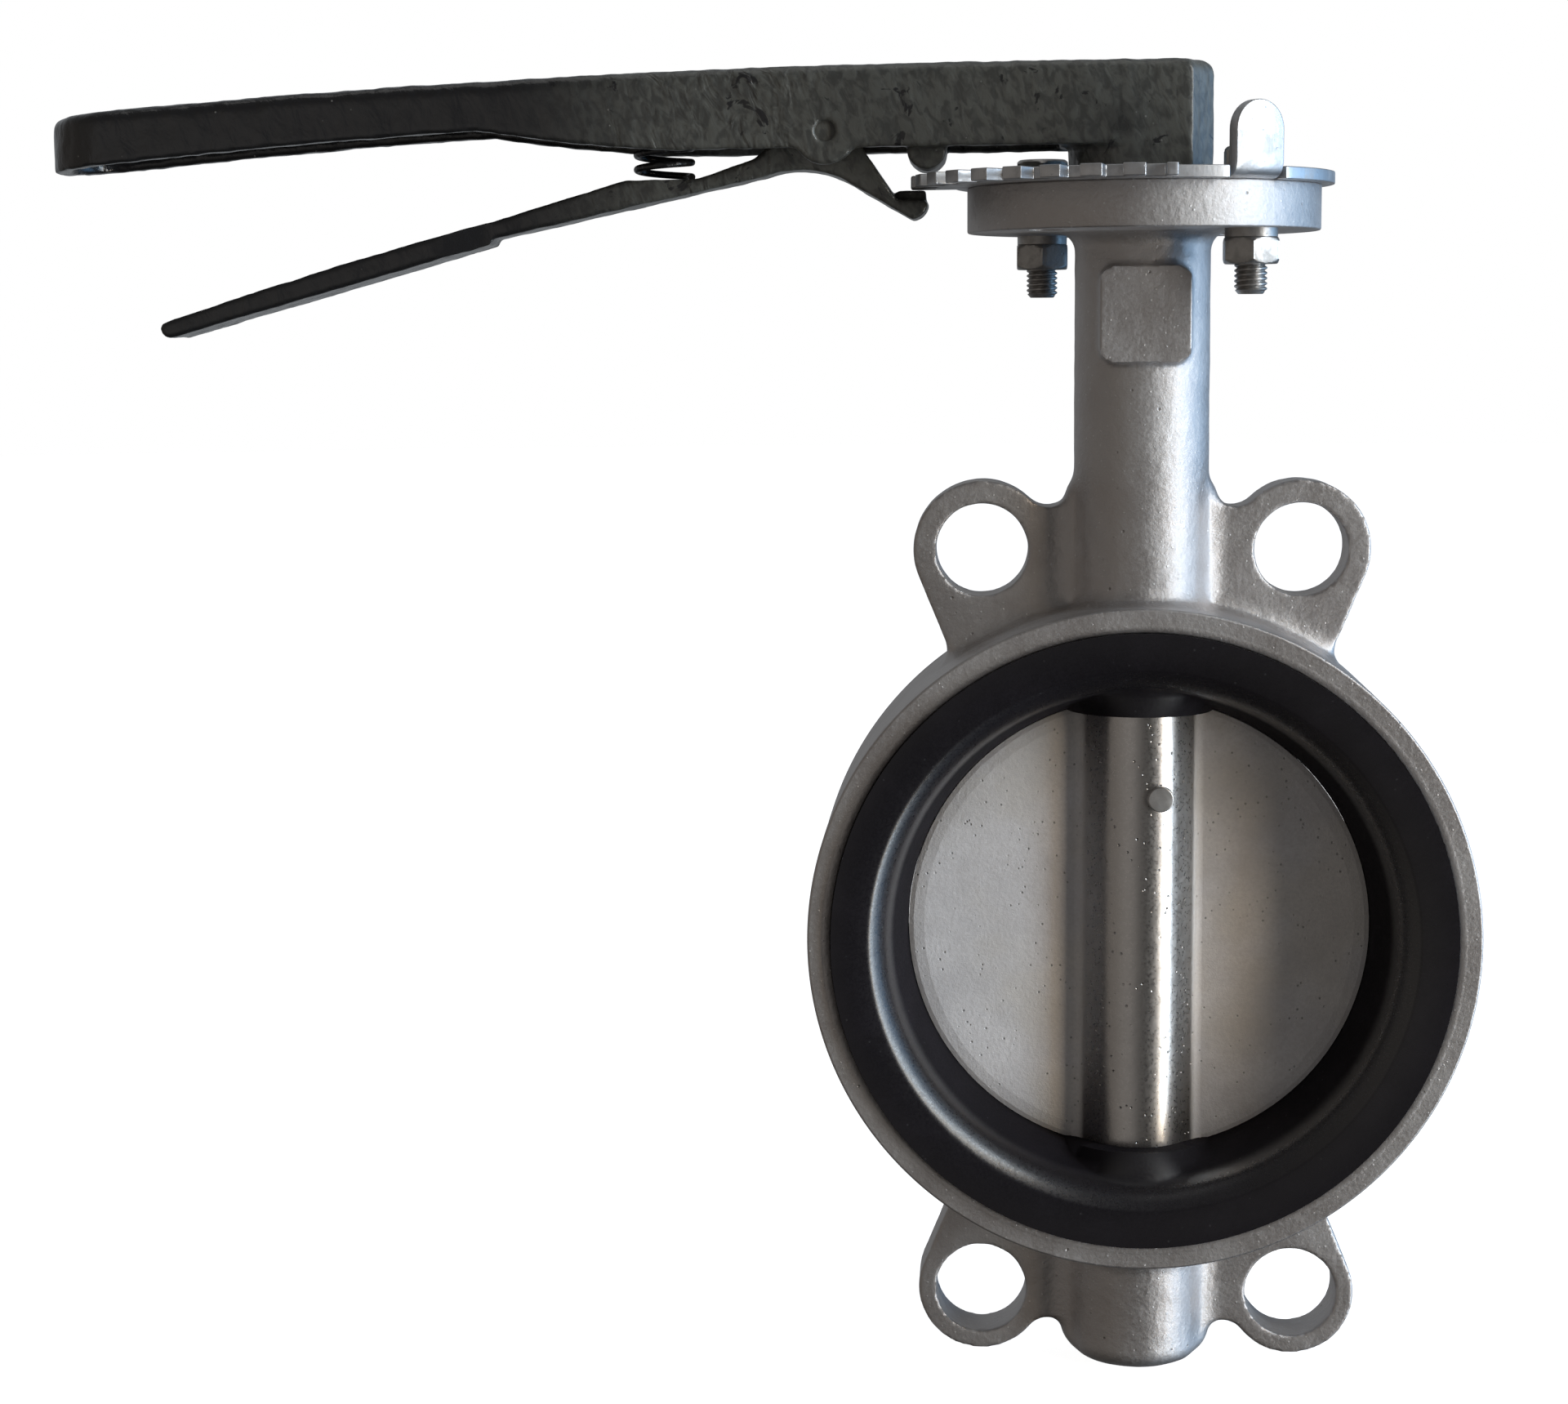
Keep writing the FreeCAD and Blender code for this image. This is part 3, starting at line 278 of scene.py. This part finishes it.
def enamel(name, tone, haze, rough):
    """Black enamel on a rough casting: glossy and smooth far out, hazy, brushed and rippled by the heel."""
    g = Graph(name)
    slant = g.node("CombineXYZ")
    g.put(slant.inputs[0], g.math("ADD", g.x, g.math("MULTIPLY", g.z, 0.25)))
    g.put(slant.inputs[1], g.y)
    g.put(slant.inputs[2], g.math("MULTIPLY", g.z, 0.6))
    strokes = g.noise(2.0, 3, 0.5, 0.6, at=slant.outputs[0])
    ripple = g.noise(4.6, 2, 0.5, 1.2, at=slant.outputs[0])
    skin = g.noise(1.3, 2, 0.5)
    dust = g.math(
        "MULTIPLY",
        g.span(g.spots(3.4), 0.03, 0.1, 1, 0),
        g.span(g.noise(16, 2), 0.5, 0.62),
    )
    near = g.math("MULTIPLY", g.span(g.x, -160, -112), g.span(g.noise(24, 3), 0.2, 0.42))
    band = g.math("MULTIPLY", g.span(g.x, -150, -122), g.span(g.x, -92, -70, 1, 0))
    bare = g.span(g.noise(8, 4, 0.6, 1.0), 0.63, 0.67)
    streaked = g.span(strokes, 0.34, 0.66, 0.5, 1.15)
    hazy = g.math("MULTIPLY", g.math("MULTIPLY", near, streaked), g.math("SUBTRACT", 1.0, bare))
    colour = g.mix(hazy, tone, haze)
    colour = g.mix(g.math("MULTIPLY", dust, 0.6), colour, (0.34, 0.33, 0.31))
    wave = g.math("MULTIPLY", ripple, g.span(band, 0, 1, 0.35, 1.0))
    g.bump((wave, 0.8), (strokes, 0.12), (skin, 0.05), (dust, 0.05))
    return g.finish(
        colour,
        g.math("ADD", g.span(near, 0, 1, rough, rough + 0.16), g.math("MULTIPLY", dust, 0.3)),
        0.0,
        Specular_IOR_Level=0.5,
        Coat_Weight=0.25,
        Coat_Roughness=0.12,
    )


def brass():
    """Sintered bearing bronze."""
    g = Graph("bearing_bronze_skin")
    tint = g.span(g.noise(3, 4), 0.35, 0.65)
    pores = g.span(g.spots(0.8), 0.08, 0.25, 1, 0)
    colour = g.mix(tint, (0.50, 0.37, 0.19), (0.62, 0.48, 0.27))
    g.bump((pores, -0.05), (g.noise(0.7, 3), 0.05))
    return g.finish(g.mix(g.math("MULTIPLY", pores, 0.5), colour, (0.2, 0.13, 0.07)), 0.4)


CAST = cast_steel()
FACE = machined_steel("machined_face_steel", "y", 0.55, (0.56, 0.525, 0.505), 0.5, 0.03)
FLANGE = machined_steel("turned_flange_steel", "z", 0.5, (0.68, 0.655, 0.64), 0.4, 0.008)
FINISH = {
    "disc_stainless": disc_steel(),
    "turned_steel": bright_steel("turned_steel_skin", (0.70, 0.69, 0.68), 0.42, (0.3, 0.3, 6)),
    "bright_plate": bright_steel("bright_plate_skin", (0.6, 0.6, 0.61), 0.42, (0.25, 5, 0.25), 0.35),
    "bright_fastener": bright_steel("bright_fastener_skin", (0.44, 0.425, 0.41), 0.4, (1, 1, 1), 0.4),
    "seat_rubber": seat_rubber("seat_rubber_skin", (0.0105, 0.009, 0.0115), 0.26),
    "bearing_bronze": brass(),
    "black_enamel": enamel("black_enamel_skin", (0.019, 0.0185, 0.0195), (0.11, 0.111, 0.1), 0.2),
    "black_spring": enamel("black_spring_skin", (0.008, 0.008, 0.009), (0.01, 0.01, 0.01), 0.24),
}


# ---------------------------------------------------------------- meshes
def mesh_object(name, mesh):
    made = bpy.data.objects.new(name, mesh)
    bpy.context.scene.collection.objects.link(made)
    return made


def welded(node):
    """A copy of a CAD node's mesh with its split corners joined again."""
    shape = bmesh.new()
    shape.from_mesh(NODES[node].data)
    bmesh.ops.remove_doubles(shape, verts=shape.verts, dist=2e-6)
    return shape


def to_mesh(name, shape, sharp=None):
    mesh = bpy.data.meshes.new(name)
    shape.normal_update()
    shape.to_mesh(mesh)
    shape.free()
    mesh.shade_smooth()
    if sharp is not None:
        mesh.set_sharp_from_angle(angle=math.radians(sharp))
    return mesh


def stand_for(node, mesh, *finishes):
    """Shows mesh in place of a CAD node, on that node's body and with its material slot."""
    made = mesh_object(node + "_finished", mesh)
    mesh.materials.clear()
    for finish in finishes or (FINISH[SLOT_OF_NODE[node]],):
        mesh.materials.append(finish)
    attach(made, BODY_OF_NODE[node])
    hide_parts(node)
    return made


def applied(mesh, *modifiers):
    """mesh after the named modifiers, each given as (type, settings)."""
    held = mesh_object("work", mesh)
    for kind, settings in modifiers:
        added = held.modifiers.new(kind, kind)
        for key, value in settings.items():
            setattr(added, key, value)
    graph = bpy.context.evaluated_depsgraph_get()
    result = bpy.data.meshes.new_from_object(held.evaluated_get(graph))
    bpy.data.objects.remove(held)
    bpy.data.meshes.remove(mesh)
    return result


def points_of(mesh):
    flat = np.empty(len(mesh.vertices) * 3, np.float32)
    mesh.vertices.foreach_get("co", flat)
    return flat.reshape(-1, 3).astype(float) / MM


def normals_of(mesh):
    flat = np.empty(len(mesh.vertices) * 3, np.float32)
    mesh.vertex_normals.foreach_get("vector", flat)
    return flat.reshape(-1, 3).astype(float)


def set_points(mesh, points):
    mesh.vertices.foreach_set("co", (points * MM).astype(np.float32).ravel())
    mesh.update()


def edges_of(mesh):
    flat = np.empty(len(mesh.edges) * 2, np.int32)
    mesh.edges.foreach_get("vertices", flat)
    return flat.reshape(-1, 2)


def relax(points, edges, weight, rounds):
    """Moves each point towards the mean of its neighbours, as far as its weight allows."""
    count = np.zeros(len(points))
    np.add.at(count, edges.ravel(), 1)
    for _ in range(rounds):
        total = np.zeros_like(points)
        for axis in range(3):
            total[:, axis] = np.bincount(
                edges[:, 0], points[edges[:, 1], axis], len(points)
            ) + np.bincount(edges[:, 1], points[edges[:, 0], axis], len(points))
        points = points + weight[:, None] * (total / count[:, None] - points)
    return points


def lumps(points, size, seed, octaves=2):
    """Smooth noise at each point, about -1 to 1, with lumps size millimetres across."""
    shift = Vector((seed * 7.3, seed * 3.1, seed * 5.7))
    return np.array(
        [noise.fractal(Vector(p) / size + shift, 1.0, 2.0, octaves) for p in points]
    )


def remeshed(node, voxel):
    mesh = to_mesh("work", welded(node))
    return applied(
        mesh, ("REMESH", {"mode": "VOXEL", "voxel_size": voxel * MM, "adaptivity": 0.0})
    )


# ---------------------------------------------------------------- cast body
RING_RADIUS, RING_HALF, LIP = 84.0, 26.5, 78.0
NECK, BOSS, FLANGE_RADIUS = 17.0, 17.2, 44.0
FLANGE_LOW, FLANGE_TOP, FLANGE_HOLE, FLANGE_OFFSET = 176.4, 187.6, 4.5, 24.75
PAD_HALF, PAD_LOW, PAD_HIGH = 11.5, 144.0, 168.0
PLATE_THICK = 3.0
BODY_VOXEL = 0.65
# How far the soft blends reach, and how far the cast skin is tucked in behind a machined face.
BLEND = 5.5
TUCK = 0.45


def fade(value, low, high):
    """0 below low, 1 above high, smooth between."""
    t = np.clip((value - low) / (high - low), 0, 1)
    return t * t * (3 - 2 * t)


def body_distances(p):
    """Distance from each point to the ring, the neck, the boss and the flange of the casting."""
    around = np.hypot(p[:, 0], p[:, 2])
    ring = np.hypot(
        np.maximum(around - RING_RADIUS, 0), np.maximum(np.abs(p[:, 1]) - RING_HALF, 0)
    )
    stem = np.hypot(p[:, 0], p[:, 1])
    neck = np.where(p[:, 2] > 0, np.abs(stem - NECK), 1e3)
    boss = np.where(p[:, 2] < 0, np.abs(stem - BOSS), 1e3)
    return ring, neck, boss


def web_distance(points):
    """Distance to the flat webs that carry the bolt lobes."""
    shape = welded("body")

    def on_web(face):
        c = face.calc_center_median() / MM
        tall = max(abs(v.co.z) for v in face.verts) / MM
        return (
            -4.1 < c.y < 10.1
            and abs(c.x) > BOSS + 0.3
            and math.hypot(c.x, c.z) > RING_RADIUS + 0.4
            and tall < 130
        )

    gone = [f for f in shape.faces if not on_web(f)]
    bmesh.ops.delete(shape, geom=gone, context="FACES")
    tree = BVHTree.FromBMesh(shape)
    shape.free()
    return np.array([tree.find_nearest(Vector(p) * MM)[3] / MM for p in points])


def cast_shell():
    """The casting: soft blends where walls meet, a faint swell to its skin, machined faces tucked in."""
    mesh = remeshed("body", BODY_VOXEL)
    p, n = points_of(mesh), normals_of(mesh)
    around, across = np.hypot(p[:, 0], p[:, 2]), np.abs(p[:, 1])
    stem = np.hypot(p[:, 0], p[:, 1])
    cast = (around > RING_RADIUS - 0.9) & (stem > 13.0) & (p[:, 2] < FLANGE_LOW)
    pad = (p[:, 1] < -12.0) & (np.abs(p[:, 0]) < PAD_HALF + 1.2)
    pad &= (p[:, 2] > PAD_LOW - 1.2) & (p[:, 2] < PAD_HIGH + 1.2)
    near = np.sort(np.stack([*body_distances(p), web_distance(p)]), axis=0)
    reach = np.clip(BLEND - near[1], 0, None) * (near[0] < 1.2) * cast * ~pad
    edges = edges_of(mesh)
    p = relax(p, edges, np.where(pad, 0.25, 0.45), 2)
    p = p + n * (reach**2 / (3.2 * BLEND))[:, None]
    p = relax(p, edges, cast * np.clip(reach / BLEND, 0, 0.8), 12)
    wave = lumps(p, 8.0, 1.0) * 0.1 + lumps(p, 2.8, 2.0, 1) * 0.035
    p = p + n * (wave * cast * ~pad)[:, None]
    face = fade(across, RING_HALF - 2.6, RING_HALF - 1.4) * (around < RING_RADIUS + 1)
    disc = fade(stem, 23.5, 27.0) * (p[:, 2] > FLANGE_LOW - 0.8)
    p = p - n * (TUCK * np.maximum(face * (around > LIP - 1), disc))[:, None]
    set_points(mesh, p)
    return mesh


def turned_ring(profile, axis, around=240):
    """A closed ring of revolution: profile is (radius, distance along the axis) in order."""
    shape = bmesh.new()
    rows = []
    for i in range(around):
        c, s = math.cos(2 * math.pi * i / around), math.sin(2 * math.pi * i / around)
        places = [(r * c, h, r * s) if axis == "y" else (r * c, r * s, h) for r, h in profile]
        rows.append([shape.verts.new(Vector(q) * MM) for q in places])
    for i, row in enumerate(rows):
        after = rows[(i + 1) % around]
        for j in range(len(profile)):
            k = (j + 1) % len(profile)
            shape.faces.new((row[j], row[k], after[k], after[j]))
    bmesh.ops.recalc_face_normals(shape, faces=shape.faces)
    return shape


def corner(centre, radius, start, steps=5):
    """Points of a quarter round in a profile, from the angle start in degrees, turning left."""
    angles = [math.radians(start + 90 * i / steps) for i in range(steps + 1)]
    return [(centre[0] + radius * math.cos(a), centre[1] + radius * math.sin(a)) for a in angles]


def collar(side):
    """One machined face of the ring: a broken outer edge, fine turned grooves and a chamfer at the lip."""
    edge, depth, chamfer = 0.7, 3.2, 0.45
    pitch, cut, grooves = 0.55, 0.06, 6
    outside = corner((RING_RADIUS - edge, RING_HALF - edge), edge, 0)
    profile = [(LIP, RING_HALF - depth), (RING_RADIUS - 0.8, RING_HALF - depth)]
    profile += [(RING_RADIUS, RING_HALF - depth + 0.7)] + outside
    for i in range(1, grooves + 1):
        r = RING_RADIUS - edge - i * pitch
        profile += [(r + pitch * 0.5, RING_HALF - cut), (r, RING_HALF)]
    profile += [(LIP + chamfer, RING_HALF), (LIP, RING_HALF - chamfer)]
    return turned_ring([(r, h * side) for r, h in profile], "y", 360)


def flange_rim():
    """The turned top flange with its four bolt holes."""
    edge, inner = 0.5, 22.5
    profile = [(inner, FLANGE_LOW + 0.3), (inner + 0.4, FLANGE_LOW)]
    profile += corner((FLANGE_RADIUS - edge, FLANGE_LOW + edge), edge, -90, 3)
    profile += corner((FLANGE_RADIUS - edge, FLANGE_TOP - edge), edge, 0, 3)
    profile += [(inner, FLANGE_TOP)]
    mesh = to_mesh("rim", turned_ring(profile, "z"))
    for a in (-1, 1):
        for b in (-1, 1):
            shape = bmesh.new()
            centre = (a * FLANGE_OFFSET, b * FLANGE_OFFSET)
            ends = (FLANGE_LOW - 1, FLANGE_TOP + 1)
            radial(shape, centre, ends, lambda z, angle: FLANGE_HOLE, 48)
            tool = mesh_object("tool", to_mesh("tool", shape))
            mesh = applied(mesh, ("BOOLEAN", {"operation": "DIFFERENCE", "object": tool}))
            bpy.data.objects.remove(tool)
    return mesh


def joined(parts):
    """One mesh from (mesh, material index) pairs."""
    whole = bmesh.new()
    for mesh, index in parts:
        start = len(whole.faces)
        whole.from_mesh(mesh)
        whole.faces.ensure_lookup_table()
        for face in whole.faces[start:]:
            face.material_index = index
    return whole


def finished_body():
    collars = [(to_mesh("collar", collar(side)), 1) for side in (-1, 1)]
    parts = [(cast_shell(), 0), *collars, (flange_rim(), 2)]
    return stand_for("body", to_mesh("body", joined(parts), 50), CAST, FACE, FLANGE)


# ---------------------------------------------------------------- cast lever pieces
# The trigger's grip starts at this x and widens over this length, from and to these half widths.
TRIGGER_GRIP = (-163.0, 16.0, 7.0, 10.0)
RIPPLE_SIZE, SWELL_SIZE = 4.2, 13.0


def finished_casting(node, voxel, rounds, ripple, seed, grip=None):
    """A lever casting with softened edges and the ripples of thick enamel over a sand-cast skin."""
    mesh = remeshed(node, voxel)
    p = points_of(mesh)
    edges = edges_of(mesh)
    p = relax(p, edges, np.full(len(p), 0.5), rounds)
    if grip:
        place, reach, narrow, wide = grip
        limit = narrow + (wide - narrow) * fade(place - p[:, 0], 0, reach)
        p[:, 1] = np.clip(p[:, 1], -limit, limit)
    set_points(mesh, p)
    n = normals_of(mesh)
    wave = lumps(p * np.array([1, 1, 0.6]), RIPPLE_SIZE, seed) * ripple
    wave += lumps(p, SWELL_SIZE, seed + 1, 1) * ripple * 0.8
    set_points(mesh, p + n * wave[:, None])
    mesh.shade_smooth()
    return stand_for(node, mesh)


# ---------------------------------------------------------------- softened CAD pieces
def softened(node, width, sharp=32):
    """A CAD piece with its hard edges rolled over by width millimetres."""
    shape = welded(node)
    bmesh.ops.dissolve_limit(
        shape, angle_limit=math.radians(0.6), verts=shape.verts, edges=shape.edges
    )
    hard = [
        e
        for e in shape.edges
        if len(e.link_faces) == 2 and e.calc_face_angle(0) > math.radians(sharp)
    ]
    bmesh.ops.bevel(
        shape, geom=hard, offset=width * MM, segments=2, profile=0.6,
        affect="EDGES", clamp_overlap=True,
    )
    return stand_for(node, to_mesh(node, shape, 40))


def finished_seat():
    """The rubber seat, smooth all over but for its moulded corners."""
    return stand_for("seat_liner", to_mesh("seat_liner", welded("seat_liner"), 35))


# ---------------------------------------------------------------- fasteners
HEX_FLATS = 13.0
THREAD_RADIUS, THREAD_PITCH, THREAD_DEPTH = 3.97, 1.25, 0.68
THREAD_LEAD = 1.1
NUT_HOLE = 3.99
WASHER_FACE = 6.4
HEX_CORNER, HEX_CHAMFER = 7.5, 1.1


def hex_radius(angle):
    """Radius of a hexagon with HEX_FLATS across its flats, at an angle."""
    return HEX_FLATS / 2 / math.cos((angle + math.pi / 6) % (math.pi / 3) - math.pi / 6)


def radial(shape, centre, levels, radius_at, around):
    """Adds a closed solid whose radius is radius_at(z, angle) on the given levels about an upright axis."""
    rows = []
    for z in levels:
        row = []
        for i in range(around):
            angle = 2 * math.pi * i / around
            r = radius_at(z, angle)
            place = (centre[0] + r * math.cos(angle), centre[1] + r * math.sin(angle), z)
            row.append(shape.verts.new(Vector(place) * MM))
        rows.append(row)
    for low, high in zip(rows, rows[1:]):
        for i in range(around):
            j = (i + 1) % around
            shape.faces.new((low[i], low[j], high[j], high[i]))
    shape.faces.new(list(reversed(rows[0])))
    shape.faces.new(rows[-1])


def thread_radius(z, angle, low):
    """Radius of a screw thread at height z, with its first turn chamfered above the end at low."""
    turn = (z / THREAD_PITCH - angle / (2 * math.pi)) % 1
    tooth = 1 - abs(2 * turn - 1)
    lead = max(0.0, 1 - (z - low) / THREAD_LEAD)
    return min(THREAD_RADIUS - THREAD_DEPTH * (1 - min(1, tooth * 1.35)), THREAD_RADIUS - lead)


def finished_bolt(node, seat, end):
    """A hexagon bolt with a real thread, from the end of its shank to its head above the seat."""
    low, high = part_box(node)
    centre = ((low.x + high.x) / 2 / MM, (low.y + high.y) / 2 / MM)
    top = high.z / MM
    shape = bmesh.new()
    levels = np.linspace(end, seat - 0.02, int((seat - end) * 7))
    radial(shape, centre, levels, lambda z, a: thread_radius(z, a, end), 40)
    crown_low = top - HEX_CHAMFER
    head = (seat, seat + 0.35, seat + 0.7, crown_low, top - 0.6, top - 0.25, top)

    def head_radius(z, a):
        crown = HEX_CORNER - max(0, z - crown_low) * 1.5
        under = WASHER_FACE if z < seat + 0.1 else HEX_CORNER
        return min(hex_radius(a), crown, under)

    radial(shape, centre, head, head_radius, 96)
    return stand_for(node, to_mesh(node, shape, 38))


def finished_nut(node):
    """A hexagon nut, chamfered at both faces and bored to clear the thread."""
    low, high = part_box(node)
    centre = ((low.x + high.x) / 2 / MM, (low.y + high.y) / 2 / MM)
    bottom, top = low.z / MM, high.z / MM
    shape = bmesh.new()
    cuts = (0, 0.3, 0.65, HEX_CHAMFER)
    levels = [bottom + c for c in cuts] + [top - c for c in reversed(cuts)]

    def nut_radius(z, a):
        inset = max(0, HEX_CHAMFER - (z - bottom), HEX_CHAMFER - (top - z))
        return min(hex_radius(a), HEX_CORNER + 0.05 - inset * 1.15)

    radial(shape, centre, levels, nut_radius, 96)
    cutter = bmesh.new()
    radial(cutter, centre, (bottom - 1, top + 1), lambda z, a: NUT_HOLE, 48)
    tool = mesh_object("tool", to_mesh("tool", cutter))
    mesh = applied(
        to_mesh(node, shape, 38), ("BOOLEAN", {"operation": "DIFFERENCE", "object": tool})
    )
    bpy.data.objects.remove(tool)
    mesh.set_sharp_from_angle(angle=math.radians(38))
    return stand_for(node, mesh)


finished_body()
finished_seat()
finished_casting("handle", 0.7, 2, 0.2, 3.0)
finished_casting("trigger", 0.6, 4, 0.16, 6.0, TRIGGER_GRIP)
softened("notch_plate", 0.3)
softened("taper_pin", 0.4)
PLATE_TOP = FLANGE_TOP + PLATE_THICK
BOLT_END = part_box("plate_bolt_left")[0].z / MM
for side in ("left", "right"):
    finished_bolt("plate_bolt_" + side, PLATE_TOP, BOLT_END)
    finished_nut("plate_nut_" + side)

for name, node in NODES.items():
    if not node.hide_render:
        node.data.materials.clear()
        node.data.materials.append(FINISH.get(SLOT_OF_NODE[name], CAST))


# ---------------------------------------------------------------- floor, light and camera
FLOOR_RADIUS, FLOOR_GAP, FLOOR_TONE = 6.0, 0.0002, 0.86


def floor():
    """A plain pale floor under the valve, there for the camera only and see-through from below."""
    shape = bmesh.new()
    bmesh.ops.create_circle(shape, cap_ends=True, radius=FLOOR_RADIUS, segments=96)
    made = mesh_object("floor", to_mesh("floor", shape))
    made.location = (0, 0, CAD_BOX[0].z - FLOOR_GAP)
    g = Graph("pale_floor")
    path = g.node("LightPath")
    facing = g.node("NewGeometry")
    mottle = g.span(g.noise(60, 3), 0.3, 0.7, 0.97, 1.0)
    tone = g.math("MULTIPLY", mottle, FLOOR_TONE)
    paint = g.node("CombineColor")
    for i in range(3):
        g.put(paint.inputs[i], tone)
    g.finish(paint.outputs[0], 0.85, 0.0)
    g.put(g.shader.inputs["Emission Color"], (1, 1, 1))
    g.put(g.shader.inputs["Emission Strength"], 0.93)
    clear = g.node("BsdfTransparent")
    mixer = g.node("MixShader")
    unseen = g.math("SUBTRACT", 1.0, path.outputs["Is Camera Ray"])
    g.put(mixer.inputs[0], g.math("MAXIMUM", facing.outputs["Backfacing"], unseen))
    g.put(mixer.inputs[1], g.shader.outputs[0])
    g.put(mixer.inputs[2], clear.outputs[0])
    out = next(n for n in g.tree.nodes if n.bl_idname == "ShaderNodeOutputMaterial")
    g.put(out.inputs["Surface"], mixer.outputs[0])
    made.data.materials.append(g.material)


def room_light():
    """White to the camera; to the valve, a room bright and cool at the right, dim and warm at the left."""
    world = bpy.data.worlds.new("room")
    bpy.context.scene.world = world
    world.use_nodes = True
    g = Graph.__new__(Graph)
    g.tree = world.node_tree
    g.tree.nodes.clear()
    out = g.node("OutputWorld")
    way = g.node("TexCoord").outputs["Generated"]
    total = None
    # Each glow has a direction, a tightness, a tint and a strength.
    lobes = (
        ((1.0, 0.1, 0.0), 8.0, (0.3, 0.6, 1.0), 2.1),
        ((-0.35, -1.0, -0.1), 11.0, (1.0, 0.96, 0.92), 0.27),
        ((-1.0, -0.3, 0.0), 3.0, (1.0, 0.92, 0.84), 0.21),
        ((-0.3, 1.0, 0.2), 2.0, (0.9, 0.95, 1.0), 0.35),
        ((0.0, 0.0, 1.0), 2.0, (0.95, 0.97, 1.0), 0.08),
    )
    for direction, power, tint, strength in lobes:
        dot = g.node("VectorMath", operation="DOT_PRODUCT")
        g.put(dot.inputs[0], way)
        g.put(dot.inputs[1], tuple(Vector(direction).normalized()))
        lobe = g.math("POWER", g.math("MAXIMUM", dot.outputs["Value"], 0.0), power)
        scaled = g.node("VectorMath", operation="SCALE")
        g.put(scaled.inputs["Vector"], tuple(c * strength for c in tint))
        g.put(scaled.inputs["Scale"], lobe)
        if total is None:
            total = scaled.outputs[0]
        else:
            added = g.node("VectorMath", operation="ADD")
            g.put(added.inputs[0], total)
            g.put(added.inputs[1], scaled.outputs[0])
            total = added.outputs[0]
    base = g.node("VectorMath", operation="ADD")
    g.put(base.inputs[0], total)
    g.put(base.inputs[1], (0.014, 0.0135, 0.013))
    lit, seen = g.node("Background"), g.node("Background")
    g.put(lit.inputs["Color"], base.outputs[0])
    g.put(seen.inputs["Color"], (1, 1, 1))
    mixer = g.node("MixShader")
    g.put(mixer.inputs[0], g.node("LightPath").outputs["Is Camera Ray"])
    g.put(mixer.inputs[1], lit.outputs[0])
    g.put(mixer.inputs[2], seen.outputs[0])
    g.put(out.inputs["Surface"], mixer.outputs[0])


def lamp(name, place, target, size, power, tint):
    """An oblong lamp, unseen by the camera, that faces its target."""
    data = bpy.data.lights.new(name, "AREA")
    data.shape = "RECTANGLE"
    data.size, data.size_y = size
    data.energy = power
    data.color = tint
    made = bpy.data.objects.new(name, data)
    made.visible_camera = False
    made.location = place
    made.rotation_mode = "QUATERNION"
    made.rotation_quaternion = (Vector(target) - Vector(place)).to_track_quat("-Z", "Y")
    bpy.context.scene.collection.objects.link(made)


CAMERA_PLACE = (-0.03887, -0.74157, 0.15291)
CAMERA_TURN = (-4.035, -7.319, -0.4215)
CAMERA_LENS = 66.6


def camera():
    """The viewing angle: a little left of the pipe axis, above the bore, looking slightly down."""
    yaw, pitch, roll = (math.radians(a) for a in CAMERA_TURN)
    ahead = Vector(
        (math.sin(yaw) * math.cos(pitch), math.cos(yaw) * math.cos(pitch), math.sin(pitch))
    )
    right = Vector((math.cos(yaw), -math.sin(yaw), 0))
    up = right.cross(ahead)
    turned = right * math.cos(roll) + up * math.sin(roll)
    upright = up * math.cos(roll) - right * math.sin(roll)
    data = bpy.data.cameras.new("camera")
    data.sensor_width, data.lens = 36.0, CAMERA_LENS
    data.clip_start, data.clip_end = 0.02, 50
    made = bpy.data.objects.new("camera", data)
    made.matrix_world = Matrix.Translation(CAMERA_PLACE) @ (
        Matrix((turned, upright, -ahead)).transposed().to_4x4()
    )
    bpy.context.scene.collection.objects.link(made)
    bpy.context.scene.camera = made


floor()
room_light()
lamp("window", (1.146, -0.534, 0.2), (0, 0, 0.05), (0.22, 2.4), 16.5, (0.76, 0.89, 1.0))
lamp("curtain", (1.05, -0.70, 0.2), (0, 0, 0.05), (0.15, 2.4), 8.5, (1.0, 0.84, 0.64))
lamp("ceiling", (-0.2, 0.1, 1.6), (0, 0, 0.1), (0.9, 0.9), 1.2, (1.0, 0.98, 0.95))
camera()
bpy.context.scene.view_settings.view_transform = "Standard"
